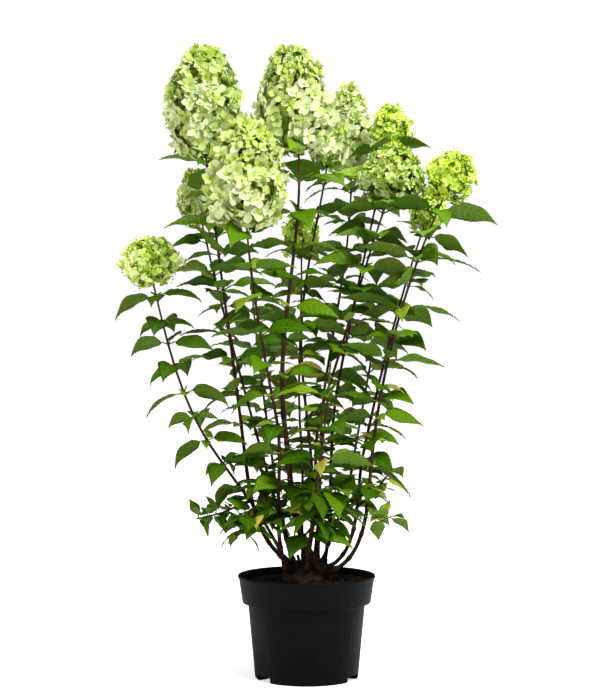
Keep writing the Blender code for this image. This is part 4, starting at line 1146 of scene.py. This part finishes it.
def make_side_twigs():
    heap = Heap()
    for name, path in twig_paths.items():
        marks = np.linspace(-TWIG_SINK, path.length, TWIG_RINGS)
        first = path.at(0.0) - path.direction(0.0) * TWIG_SINK
        points = [first if mark < 0 else path.at(mark) for mark in marks]
        radii = [TWIG_RADIUS * (1.9 - 0.8 * max(mark, 0.0) / path.length) for mark in marks]
        add_tube(heap, points, radii, TWIG_SIDES, 0)
    return dressed(heap.mesh("side_twigs", [TWIG_BARK]), "bark", *SIDE_TWIGS)


def make_stool():
    """The mound, roughened, with each cane's swollen spur and the old pruned stubs."""
    base = COMPOST_TOP + GAP
    heap = Heap()
    points = []
    for row in range(STOOL_ROWS):
        share = row / (STOOL_ROWS - 1)
        radius = STOOL_FLARE * (1.0 - share**1.9) ** 0.62 if share < 1 else 0.0004
        for side in range(STOOL_SIDES):
            angle = 2 * math.pi * side / STOOL_SIDES
            bumps = noise.noise(round_z(angle, 2.4, share * 3.0))
            grain = noise.noise(round_z(angle, 9, share * 9.0))
            reach = radius * (0.90 + 0.16 * bumps + 0.05 * grain)
            points.append(round_z(angle, reach, base + STOOL_HEIGHT * share * (0.93 + 0.07 * bumps)))
    heap.add(points, grid_faces(STOOL_ROWS, STOOL_SIDES, closed=True))
    for name, cane in CANES.items():
        path = cane_paths[name]
        foot = path.at(0.0)
        root = Vector((0.45 * foot.x, 0.45 * foot.y, base + 0.3 * STOOL_HEIGHT))
        line = [root.lerp(foot, ring / 6) for ring in range(6)]
        line += [path.at(SPUR_LENGTH * ring / 6) for ring in range(7)]
        radii = [cane["radius"] * (1.9 - 0.45 * ring / 5) for ring in range(6)]
        radii += [cane["radius"] * (1.45 - 0.43 * ring / 6) for ring in range(7)]
        relief = cane_relief(name + " spur", [0.01 * ring for ring in range(len(line))], [], 1.0)
        add_tube(heap, line, radii, CANE_SIDES, 0, relief)
    add_stubs(heap, base)
    return dressed(heap.mesh("woody_stool", [OLD_BARK]), "bark", "stool")


def add_stubs(heap, base):
    """Old pruned stubs, each a short leaning peg with a cut face, as the solid stool has them."""
    rule = random.Random("old stubs")
    boughs = Space()
    for name in CANES:
        boughs.hold(nodes[f"bough_{name}"].data, name)
    for number in range(OLD_STUBS):
        angle = math.radians(360.0 * number / OLD_STUBS + rule.uniform(-14, 14))
        out = round_z(angle, 1.0, rule.uniform(0.9, 1.7)).normalized()
        root = round_z(angle, STUB_CIRCLE, base + 0.4 * STOOL_HEIGHT)
        length = rule.uniform(*STUB_LENGTHS)
        radius = rule.uniform(*STUB_RADII)
        solid = square_tube([root, root + out * length], [radius, 0.85 * radius])
        corners = [corner.co.copy() for corner in solid.vertices]
        if boughs.is_free(corners, [tuple(face.vertices) for face in solid.polygons], "stool"):
            shares = [ring / (STUB_RINGS - 1) for ring in range(STUB_RINGS)]
            line = [root + out * length * share for share in shares]
            marks = [RING_STEP * ring for ring in range(STUB_RINGS)]
            radii = [radius * (1 - STUB_TAPER * share) for share in shares]
            add_tube(heap, line, radii, CANE_SIDES, 0, cane_relief(f"stub {number}", marks, [], 1.0))


make_canes()
make_side_twigs()
make_stool()

# %% [markdown]
# ## Leaves
# A panicle hydrangea's leaf is oval with a drawn-out tip, sharply toothed, and quilted: its side veins are
# sunk and the blade puffs up between them. The blade here is a grid whose cross-lines follow the side
# veins, so that every other line can be sunk, and its margin stands out a little where a vein ends. A
# paler underside is closed to it at the rim. The leaf bends along the line the rule gives it.

# %% Blades
PETIOLE_SHARE = 0.15
VEINS = 8
VEIN_HALF = 0.008
VEIN_SLANT = 0.17
VEIN_DEPTH = 0.00165
MIDRIB_DEPTH = 0.0006
TOOTH_DEPTH = 0.025
FULL_HALF = 0.028
FINE_COLUMNS = (-1.0, -0.68, -0.30, -0.022, 0.022, 0.30, 0.68, 1.0)
PLAIN_COLUMNS = (-1.0, -0.5, -0.04, 0.04, 0.5, 1.0)
PLAIN_ROWS = 10
SMALL_LEAF = 0.050
LEAF_HALF_THICKNESS = 0.0003
WIDEST = 0.38
SPRAY_SPACE = 0.0075
AXIL_CHANCE = 0.97
AXIL_GROWTH = 0.12
AXIL_GROWTH_FROM = 0.35
AXIL_LENGTHS = (0.030, 0.054)
BREADTH = 0.94
SHORTER = 0.9
YELLOW_BELOW = 0.62
YELLOW_CHANCE = 0.035
# Below this height and left of this x, small leaves get darker tints as painted shade.
SHADED_BELOW = 0.45
SHADED_LEFT_OF = 0.02
YOUNG_LEAF = 0.055
STALK_RINGS = 5
STALK_SIDES = 6
TOP_SLOT, UNDER_SLOT, MIDRIB_SLOT, STALK_SLOT, VEIN_SLOT = range(5)


def blade_outline(along):
    """Half the blade's width, as a share of its greatest, at v from its foot to its drawn-out tip."""
    low = np.clip(along / WIDEST, 0.0, 1.0)
    high = np.clip((along - WIDEST) / (1.0 - WIDEST), 0.0, 1.0)
    return np.where(along < WIDEST, (1.0 - (1.0 - low) ** 2) ** 0.6, (1.0 - high**1.35) ** 1.40)


class Blade:
    """A leaf's grid: its rows with the relief at each, its columns, its faces and the slot each wears."""

    def __init__(self, rows, relief, columns, strips):
        self.rows = np.array(rows)[:, None]
        self.relief = np.array(relief)[:, None]
        self.columns = np.array(columns)
        self.across = np.tile(self.columns, (len(rows), 1))
        count, wide = len(rows), len(columns)
        top = np.arange(count * wide).reshape(count, wide)
        under = top.copy()
        inner = under[1:-1, 1:-1]
        under[1:-1, 1:-1] = count * wide + np.arange(inner.size).reshape(inner.shape)
        sheets = [
            np.stack([top[:-1, :-1], top[:-1, 1:], top[1:, 1:], top[1:, :-1]], axis=-1),
            np.stack([under[:-1, :-1], under[1:, :-1], under[1:, 1:], under[:-1, 1:]], axis=-1),
        ]
        slots = np.zeros((2, count - 1, wide - 1), int)
        slots[0], slots[1] = TOP_SLOT, UNDER_SLOT
        slots[:, strips, :] = VEIN_SLOT
        slots[:, :, wide // 2 - 1] = MIDRIB_SLOT
        self.faces = np.concatenate([sheet.reshape(-1, 4) for sheet in sheets])
        self.slots = slots.reshape(-1)


def fine_blade():
    """Rows laid along each side vein's two edges, and one between each two veins where the blade puffs."""
    rows, relief, strips = [0.0], [0.0], []
    space = 1.0 / (VEINS + 0.1)
    for vein in range(VEINS):
        middle = (vein + 0.5) * space
        strips.append(len(rows))
        rows += [middle - VEIN_HALF, middle + VEIN_HALF]
        relief += [-1.0, -1.0]
        if vein < VEINS - 1:
            rows.append(middle + 0.5 * space)
            relief.append(1.0)
    return Blade(rows + [1.0], relief + [0.0], FINE_COLUMNS, strips)


FINE_BLADE = fine_blade()
PLAIN_BLADE = Blade(np.linspace(0.0, 1.0, PLAIN_ROWS), np.zeros(PLAIN_ROWS), PLAIN_COLUMNS, [])


def blade_points(leaf, blade, rule):
    """The blade's points in place: bent along the leaf's line, folded, quilted and a little wavy."""
    half = leaf["length"] * BLADE_RATIO / 2 * BREADTH
    across = blade.across
    away = np.abs(across)
    along = blade.rows + VEIN_SLANT * away * (1.0 - blade.rows) * np.minimum(1.0, 4 * blade.rows + 0.25)
    teeth = 1.0 - np.where(away == 1.0, TOOTH_DEPTH * blade.relief, 0.0)
    width = half * blade_outline(along) * teeth
    swings = rule.uniform(1.4, 2.4) * along + rule.random()
    wave = rule.uniform(0.04, 0.13) * np.sin(2 * math.pi * swings + 1.3 * np.sign(across))
    fold = rule.uniform(0.14, 0.50)
    curl = rule.uniform(0.05, 0.36)
    lift = width * (fold * away * (1.0 - 0.55 * along) - curl * across**2 + wave * across**2)
    puff = (1.0 - away) * away * 4.0 * blade.relief
    lift = lift + VEIN_DEPTH * puff * (half / FULL_HALF) - MIDRIB_DEPTH * (away < 0.1)
    sweep = rule.uniform(-0.10, 0.10) * leaf["length"] * along**2
    share = PETIOLE_SHARE + (1.0 - PETIOLE_SHARE) * along
    slope = leaf["rise"] - leaf["droop"] * share
    forward = leaf["length"] * (math.sin(leaf["rise"]) - np.sin(slope)) / leaf["droop"]
    upward = leaf["length"] * (np.cos(slope) - math.cos(leaf["rise"])) / leaf["droop"]
    heading = np.array(leaf["heading"])
    side = np.array(leaf["heading"].cross(UP))
    roll = leaf["roll"] * np.clip((share - 0.02) / 0.25, 0.0, 1.0)
    raised = np.cos(slope)[..., None] * np.array(UP) - np.sin(slope)[..., None] * heading
    beside = np.cos(roll)[..., None] * side + np.sin(roll)[..., None] * raised
    above = np.cos(roll)[..., None] * raised - np.sin(roll)[..., None] * side
    middle = np.array(leaf["root"]) + forward[..., None] * heading + upward[..., None] * np.array(UP)
    top = middle + (width * across + sweep)[..., None] * beside + lift[..., None] * above
    under = top - 2 * LEAF_HALF_THICKNESS * above
    return np.concatenate([top.reshape(-1, 3), under[1:-1, 1:-1].reshape(-1, 3)])


def add_stalk(heap, leaf, slot):
    """The leaf's stalk, from the middle of its stem to a little way under the blade."""
    points = [line_point(leaf, share)[0] for share in np.linspace(0.0, PETIOLE_SHARE + 0.04, STALK_RINGS)]
    thick = 0.0011 * leaf["length"] / 0.11 + 0.0003
    radii = [thick * (1.25 - 0.4 * ring / (STALK_RINGS - 1)) for ring in range(STALK_RINGS)]
    add_tube(heap, points, radii, STALK_SIDES, slot)


def tint_of(leaf, rule):
    """Which tint a leaf wears: deeper low down, fresher to the tips, now and then yellowing.
    Small leaves low on the left get grown, darker tints instead of young ones, as painted shade.
    """
    root = leaf["root"]
    chance = rule.random()
    if root.z < YELLOW_BELOW and chance < YELLOW_CHANCE:
        return "yellow"
    age = (root.z - 0.25) / 0.85 + rule.uniform(-0.30, 0.30)
    # Small leaves low on the left are kept from the young tints: painted shade on the shaded lower left of
    # the shrub.
    shaded = root.z < SHADED_BELOW and root.x < SHADED_LEFT_OF
    if leaf["length"] < YOUNG_LEAF and not shaded:
        return "young" if chance > 0.55 else "fresh"
    if age < 0.42:
        return "deep" if chance < 0.66 else "mid"
    if age < 0.80:
        return ("deep", "mid", "fresh")[0 if chance < 0.34 else 1 if chance < 0.84 else 2]
    return "mid" if chance < 0.55 else "fresh"


def kept_inside(leaf):
    """The leaf, made shorter where its tip would reach past the box of the solids."""
    while True:
        tip = line_point(leaf, 1.0)[0]
        if all(low <= reach <= high for reach, low, high in zip(tip, *cad_box)):
            return leaf
        leaf["length"] *= SHORTER


def axil_leaves(name, cane, path):
    """The younger leaves in the axils, a quarter turned from each pair and larger towards the heads."""
    found = []
    for pair, (mark, turn) in enumerate(shoot_pairs(name, cane, path)):
        share = mark / path.length
        for side in (0.5 * math.pi, 1.5 * math.pi):
            rule = leaf_rule(name + " axil", pair, side)
            if rule.random() > AXIL_CHANCE:
                continue
            grown = AXIL_GROWTH * max(0.0, share - AXIL_GROWTH_FROM)
            length = rule.uniform(*AXIL_LENGTHS) + grown * rule.uniform(0.3, 1.0)
            rise, droop = rule.uniform(0.2, 0.9), rule.uniform(0.8, 1.5)
            roll = rule.uniform(-0.9, 0.9)
            leaf = leaf_at(path.at(mark), path.direction(mark), turn + side, rise, droop, length, roll)
            found.append(kept_inside(leaf))
    return found


def spray_leaves(name, twig, path):
    """Small leaves between a side twig's pairs, as on the crowded shoots low in a shrub."""
    rule = random.Random(name + " spray")
    found = []
    for mark in np.arange(0.14 * path.length, 0.96 * path.length, SPRAY_SPACE):
        length = twig["leaf"] * rule.uniform(0.50, 0.95)
        turn = rule.uniform(0.0, 2 * math.pi)
        rise, droop, roll = rule.uniform(0.2, 0.8), rule.uniform(0.7, 1.4), rule.uniform(-0.6, 0.6)
        leaf = leaf_at(path.at(mark), path.direction(mark), turn, rise, droop, length, roll)
        found.append(kept_inside(leaf))
    return found


def make_leaves():
    """All leaves, dealt to one heap for each tint."""
    heaps = {tint: Heap() for tint in LEAF_FINISHES}
    wearers = {tint: set() for tint in LEAF_FINISHES}
    everything = {node: list(leaves) for node, leaves in dealt_leaves.items()}
    for name, cane in CANES.items():
        everything[f"shoot_{name}"] += axil_leaves(name, cane, cane_paths[name])
    for name, twig in SIDE_TWIGS.items():
        everything[name] += spray_leaves(name, twig, twig_paths[name])
    for node, leaves in everything.items():
        for number, leaf in enumerate(leaves):
            rule = random.Random(f"{node} blade {number}")
            tint = tint_of(leaf, rule)
            blade = PLAIN_BLADE if leaf["length"] < SMALL_LEAF else FINE_BLADE
            heaps[tint].add(blade_points(leaf, blade, rule), blade.faces, slot=(blade.slots, 0))
            add_stalk(heaps[tint], leaf, STALK_SLOT)
            wearers[tint].add(node)
    for tint, heap in heaps.items():
        dressed(heap.mesh(f"leaves_{tint}", LEAF_FINISHES[tint]), "foliage", *sorted(wearers[tint]))


make_leaves()

# %% [markdown]
# ## Flower heads
# The head is a panicle: a branched stalk that ends in a crowd of florets. Most are showy and sterile, each
# of four broad sepals round a tiny bud; young heads are still half closed, small-floreted and lime, with
# round buds between. The rule's golden-angle spiral is carried on to a few hundred florets a head, in an
# outer layer that faces out and an inner one that is seen between them, dealt darker tints as painted shade.

# %% Florets
SEPAL_ALONG = np.array([0.06, 0.30, 0.58, 0.80, 1.0])
SEPAL_WIDTH = np.array([0.08, 0.30, 0.41, 0.25, 0.0])
SEPAL_ACROSS = np.array([-1.0, 0.0, 1.0])
SEPAL_FACES = grid_faces(len(SEPAL_ALONG), len(SEPAL_ACROSS))
FOOT_SLOT = 4
BUD_SLOT = 5
STEM_SLOT = 6
BUD_SIZE = 0.12
BUD_HEIGHT = 0.10
SEPAL_OVERLAP = 0.05
TEMPLATE_COUNT = 12
WIDEST_OPEN = -0.15
MOST_CLOSED = 0.95


def small_ball():
    """A round bud of unit radius: its points and its three-cornered faces."""
    ball = bmesh.new()
    bmesh.ops.create_icosphere(ball, subdivisions=1, radius=1.0)
    points = np.array([corner.co[:] for corner in ball.verts])
    faces = [[corner.index for corner in face.verts] for face in ball.faces]
    ball.free()
    return points, faces


BUD_POINTS, BUD_FACES = small_ball()


def sepal_points(rule, rise):
    """One sepal of unit length along +X: an oval blade that rises from the floret's plane and cups."""
    broad = rule.uniform(0.86, 1.16)
    cup = rule.uniform(-0.25, 0.30)
    points = []
    for along, width in zip(SEPAL_ALONG, SEPAL_WIDTH):
        for across in SEPAL_ACROSS:
            height = cup * along**2 + 0.30 * across**2 * width - 0.05 * math.sin(math.pi * along)
            points.append((along, across * width * broad, height))
    return np.array(points) @ np.array(Matrix.Rotation(-rise, 3, "Y").transposed())


def floret_template(number):
    """A floret of unit radius that faces +Z, from wide open to half closed, with a bud in its middle."""
    rule = random.Random(f"floret {number}")
    heap = Heap()
    closed = WIDEST_OPEN + (MOST_CLOSED - WIDEST_OPEN) * number / (TEMPLATE_COUNT - 1)
    for sepal in range(4):
        size = rule.uniform(0.84, 1.08)
        turn = Matrix.Rotation(math.radians(90 * sepal) + rule.uniform(-0.16, 0.16), 3, "Z")
        roll = Matrix.Rotation(rule.uniform(-0.35, 0.35), 3, "X")
        points = sepal_points(rule, closed + rule.uniform(-0.18, 0.18)) * size
        points = points @ np.array((turn @ roll).transposed())
        slots = np.where(np.arange(len(SEPAL_FACES)) < len(SEPAL_ACROSS) - 1, FOOT_SLOT, sepal)
        heap.add(points + (0, 0, SEPAL_OVERLAP * (sepal % 2)), SEPAL_FACES, slot=(slots, 0))
    heap.add(BUD_POINTS * BUD_SIZE + (0, 0, BUD_HEIGHT), triangles=BUD_FACES, slot=BUD_SLOT)
    return heap


TEMPLATES = [floret_template(number) for number in range(TEMPLATE_COUNT)]


def add_template(heap, template, place, turn, size, tone, rule):
    """A floret's template, set in place, each of whose parts wears a tint about the floret's own tone."""
    points = np.concatenate(template.points) * size @ np.array(turn.transposed()) + np.array(place)
    quads = np.concatenate(template.quads)
    triangles = np.concatenate(template.triangles)
    tones = [tone + rule.gauss(0.0, 0.35) for _ in range(4)] + [tone + 1.3, tone + 2.0]
    tints = np.array([int(min(5, max(0, round(value)))) for value in tones])
    heap.add(points, quads[:, :4], triangles[:, :3], slot=(tints[quads[:, 4]], tints[triangles[:, 3]]))


def head_radius(head, share):
    """The head's outline: its radius at a share of its length, domed below and drawn to a blunt tip."""
    widest = head["widest"]
    if share < widest:
        return head["radius"] * math.sqrt(max(0.0, 1.0 - (FOOT_TUCK * (widest - share) / widest) ** 2))
    drawn_in = ((share - widest) / (1.0 - widest)) ** CROWN_POWER
    return head["radius"] * max(0.0, 1.0 - drawn_in) ** CROWN_BLUNT


def head_frame(head, path):
    """Where a head stands: at its cane's tip, along a direction between the cane's own and its lean."""
    end = path.at(path.length)
    along = path.direction(path.length)
    up = (lean_direction(head["lean"], 0.0) + CANE_PULL * along).normalized()
    return end + along * GAP, along, UP.rotation_difference(up)


def spiral(name, head, spread):
    """Florets round a head's outline in a golden-angle spiral, closer than the solids have them."""
    rule = random.Random(f"{name} {spread}")
    side = head["floret"] * spread
    count = int(2.0 * math.pi * HEAD_FULLNESS * head["radius"] * head["length"] / side**2)
    for number in range(count):
        share = LOWEST_FLORET + FLORET_SPAN * (number + 0.5) / count + rule.uniform(-0.02, 0.02)
        yield share, number * GOLDEN_ANGLE + rule.uniform(-0.3, 0.3), rule


# A shift of each head's tints, paler below nought and greener above. The paler tints of head_back_right are
# painted light, making up for the shade it sits in behind the others.
TONE_SHIFTS = {
    "head_back_right": -0.9,
    "head_far_left": -0.8,
    "head_right_top": 0.1,
    "head_right": 0.8,
    "head_far_right": 0.9,
}
YOUNG_FLORETS = {"head_right": 0.76, "head_behind_left": 0.86}
# Each layer: its inset, its spread, and whether it is the inner layer, whose darker tints are painted shade.
FLORET_LAYERS = ((0.93, 0.56, 0), (0.70, 0.68, 1))
LUMPS = 0.12
LIME_LUMPS = 0.26
FLORET_SINK = 0.26
LOWEST_FLORET = 0.02
FLORET_SPAN = 0.90
HANGING_SHARE = 0.14
HANG = 0.55
LOOSENESS = 0.42
LIME_SIZE = 0.82
BUD_CLUSTERS = 0.25
STEM_RADII = (0.0007, 0.0005, 0.0004)
WHORLS = 5
ARMS = 4
CONE = 0.24
CONE_FROM = 0.40


def head_point(head, share, angle, inset, seed, lumps):
    """A point of the head's lumpy outline and the direction out of it, in the head's own frame."""
    round_to = Vector((math.cos(angle), math.sin(angle), 0.0))
    lump = 1.0 + lumps * noise.noise(Vector((round_to.x * 1.6, round_to.y * 1.6, share * 4.2 + seed)))
    radius = head_radius(head, share) * inset * lump * (1.0 + CONE * (CONE_FROM - share))
    slope = (head_radius(head, share + 0.03) - head_radius(head, share - 0.03)) / (0.06 * head["length"])
    normal = (round_to - UP * slope).normalized()
    height = (share * (1.0 - 0.10 * (1.0 - inset)) - head["hang"]) * head["length"]
    return round_to * radius + UP * height, normal


def turned_to(normal, spin):
    return UP.rotation_difference(normal).to_matrix() @ Matrix.Rotation(spin, 3, "Z")


def dealt_tone(share, lime, inner, rule):
    """Ivory at the foot of a cream head and lime at its tip; a lime head is lime to bud green.
    The inner layer is dealt darker, greener tints: painted shade between the outer florets.
    """
    # inner shifts the tints of the inner layer darker: painted shade.
    if lime:
        return 1.6 - 0.5 * share + rule.gauss(0.0, 0.6) + 2.0 * inner
    return 0.45 + 1.9 * max(0.0, share - 0.25) ** 1.2 + rule.gauss(0.0, 0.6) + (2.4 - 1.7 * share) * inner


def add_florets(heap, name, head, path, lime):
    base, along, turn = head_frame(head, path)
    seed = random.Random(name).uniform(0, 30)
    spin_to = turn.to_matrix()
    small = LIME_SIZE if lime else YOUNG_FLORETS.get(name, 1.0)
    lumps = LIME_LUMPS if lime else LUMPS
    for inset, spread, inner in FLORET_LAYERS:
        for share, angle, rule in spiral(name, head, spread * small):
            ragged = inset * rule.uniform(1.0 - 0.6 * lumps, 1.0 + 0.5 * lumps)
            point, normal = head_point(head, share, angle, ragged, seed, lumps)
            point -= normal * FLORET_SINK * head["floret"] * small
            if share < HANGING_SHARE:
                point -= UP * rule.uniform(0.0, HANG) * head["floret"]
            loose = Vector([rule.gauss(0.0, LOOSENESS) for _ in range(3)])
            facing = (spin_to @ (normal + loose).normalized()).normalized()
            place = base + spin_to @ point
            size = head["floret"] * small * rule.uniform(0.46, 0.66) * (1.10 - 0.28 * share)
            low = max(0.0, point.z - 0.30 * point.xy.length)
            root = base + spin_to @ Vector((point.x * 0.40, point.y * 0.40, low))
            add_stem(heap, root, place, facing)
            if lime and rule.random() < BUD_CLUSTERS:
                add_bud_cluster(heap, place, facing, head["floret"] * 0.10, rule)
                continue
            closed = min(1.0, max(0.0, 0.15 + 0.6 * share + rule.gauss(0.0, 0.25)))
            template = TEMPLATES[round(closed * (TEMPLATE_COUNT - 1))]
            tone = dealt_tone(share, lime, inner, rule) + TONE_SHIFTS.get(name, 0.0)
            add_template(heap, template, place, turned_to(facing, rule.uniform(0, 6.3)), size, tone, rule)
    return base, along, turn


def add_stem(heap, root, place, facing):
    """A floret's thread-like stalk."""
    bend = root.lerp(place - facing * 0.008, 0.6)
    add_tube(heap, [root, bend, place], STEM_RADII, 3, STEM_SLOT)


def add_bud_cluster(heap, place, facing, radius, rule):
    """A few round buds on threads, as between the florets of a young head."""
    for _ in range(rule.randrange(3, 6)):
        off = Vector([rule.gauss(0, 1) for _ in range(3)]) * radius * 1.5
        spot = place + off + facing * radius
        size = radius * rule.uniform(0.55, 0.95)
        tint = 4 if rule.random() < 0.6 else 3
        heap.add(BUD_POINTS * size + np.array(spot), triangles=BUD_FACES, slot=tint)


def add_head_branches(heap, head, base, along, turn):
    """The stalk that runs up inside the head, with whorls of side branches."""
    reach_up = (1.0 - head["hang"]) * head["length"]
    top = base + turn @ (UP * 0.9 * reach_up)
    middle = base + turn @ (UP * 0.4 * reach_up)
    add_tube(heap, [base - along * 0.002, middle, top], [TIP_RADIUS, 0.0017, 0.0008], 8, STEM_SLOT)
    for ring in range(1, WHORLS + 1):
        share = ring / (WHORLS + 1.5)
        for arm in range(ARMS):
            angle = math.radians(90 * arm + 43 * ring)
            reach = 0.72 * head_radius(head, share)
            height = (share - head["hang"]) * head["length"]
            tip = round_z(angle, reach, height)
            root = UP * max(0.0, height - 0.35 * reach)
            add_tube(heap, [base + turn @ root, base + turn @ tip], [0.0011, 0.0006], 5, STEM_SLOT)


FRONT_HEADS = ("head_top_left", "head_front", "head_behind_left")


def make_heads():
    """The cream heads as two pieces, so that neither is too heavy, and the lime ones as a third."""
    groups = {
        "blossom_cream_front": [name for name in HEADS if name in FRONT_HEADS],
        "blossom_cream_back": [name for name in HEADS if name not in FRONT_HEADS + LIME_HEADS],
        "blossom_lime": [name for name in HEADS if name in LIME_HEADS],
    }
    for label, names in groups.items():
        lime = label == "blossom_lime"
        heap = Heap()
        for name in names:
            head = HEADS[name]
            stand = add_florets(heap, name, head, cane_paths[head["cane"]], lime)
            add_head_branches(heap, head, *stand)
        piece = heap.mesh(label, BLOSSOM_FINISHES["lime" if lime else "cream"])
        dressed(piece, "lime_blossom" if lime else "cream_blossom", *names)


make_heads()

# %% [markdown]
# ## The studio
# The photograph shows the plant cut out on white, seen level from in front, lit softly from above and
# from its front. A pale floor runs back to a white surround, a large soft panel stands high in front, and
# a second fills from the other side. The camera stands where the photograph's did.

# %% Studio
CAMERA_PLACE = (-0.0134, -3.366, 0.665)
CAMERA_LENS = 85.0
FLOOR_GLOW = 0.62
WHITE = (1.0, 1.0, 1.0, 1.0)

# Each light: where it hangs, how high on the plant it looks, its breadth and its power.
LIGHTS = {
    "key_panel": ((1.5, -2.0, 3.0), 0.7, 1.2, 130.0),
    "fill_panel": ((-2.4, -2.0, 1.6), 0.7, 1.6, 26.0),
    "top_panel": ((-0.1, 0.5, 3.4), 0.6, 1.6, 80.0),
}


def glow_when_seen(tree, low, high):
    """A strength that only rays from the camera meet, rising from low to high."""
    ray = new_node(tree, "LightPath")
    strength = new_node(tree, "MapRange", {"To Min": low, "To Max": high})
    wire(tree, (ray, "Is Camera Ray", strength, "Value"))
    return strength


def make_floor():
    """A pale floor that runs out to white, so that no horizon shows behind the plant."""
    bpy.ops.mesh.primitive_plane_add(size=60.0)
    floor = bpy.context.object
    floor.name = "studio_floor"
    material = plain_finish("studio_white", (245, 245, 245), 0.9, 0.1)
    tree = material.node_tree
    shader = tree.nodes["Principled BSDF"]
    shader.inputs["Emission Color"].default_value = WHITE
    place = new_node(tree, "NewGeometry")
    distance = new_node(tree, "VectorMath", operation="LENGTH")
    reach = {"From Min": 0.35, "From Max": 2.2, "To Min": FLOOR_GLOW, "To Max": 1.0}
    outward = new_node(tree, "MapRange", reach)
    seen = glow_when_seen(tree, 0.0, 1.0)
    glow = new_node(tree, "Math", operation="MULTIPLY")
    wire(
        tree, (place, "Position", distance, 0), (distance, "Value", outward, "Value"),
        (outward, "Result", glow, 0), (seen, "Result", glow, 1),
        (glow, "Value", shader, "Emission Strength"),
    )
    floor.data.materials.append(material)


def area_light(name, place, height, size, power):
    """A round, soft light that looks at a height on the plant's own axis."""
    light = bpy.data.lights.new(name, "AREA")
    light.shape = "DISK"
    light.size = size
    light.energy = power
    lamp = bpy.data.objects.new(name, light)
    scene.collection.objects.link(lamp)
    lamp.location = place
    lamp.rotation_euler = (UP * height - Vector(place)).to_track_quat("-Z", "Y").to_euler()


def white_surround(seen, felt):
    """A surround that looks white to the camera and lights the plant less than it looks."""
    world = bpy.data.worlds.new("surround")
    scene.world = world
    world.use_nodes = True
    tree = world.node_tree
    background = tree.nodes["Background"]
    background.inputs["Color"].default_value = WHITE
    strength = glow_when_seen(tree, felt, seen)
    wire(tree, (strength, "Result", background, "Strength"))


def make_camera():
    lens = bpy.data.cameras.new("camera")
    lens.lens = CAMERA_LENS
    lens.sensor_width = 36.0
    lens.sensor_fit = "AUTO"
    lens.dof.use_dof = False
    camera = bpy.data.objects.new("camera", lens)
    scene.collection.objects.link(camera)
    camera.location = CAMERA_PLACE
    camera.rotation_euler = (math.radians(90.0), 0.0, 0.0)
    scene.camera = camera


make_floor()
for name, told in LIGHTS.items():
    area_light(name, *told)
white_surround(1.05, 0.24)
make_camera()
scene.view_settings.view_transform = "Standard"
scene.view_settings.look = "None"
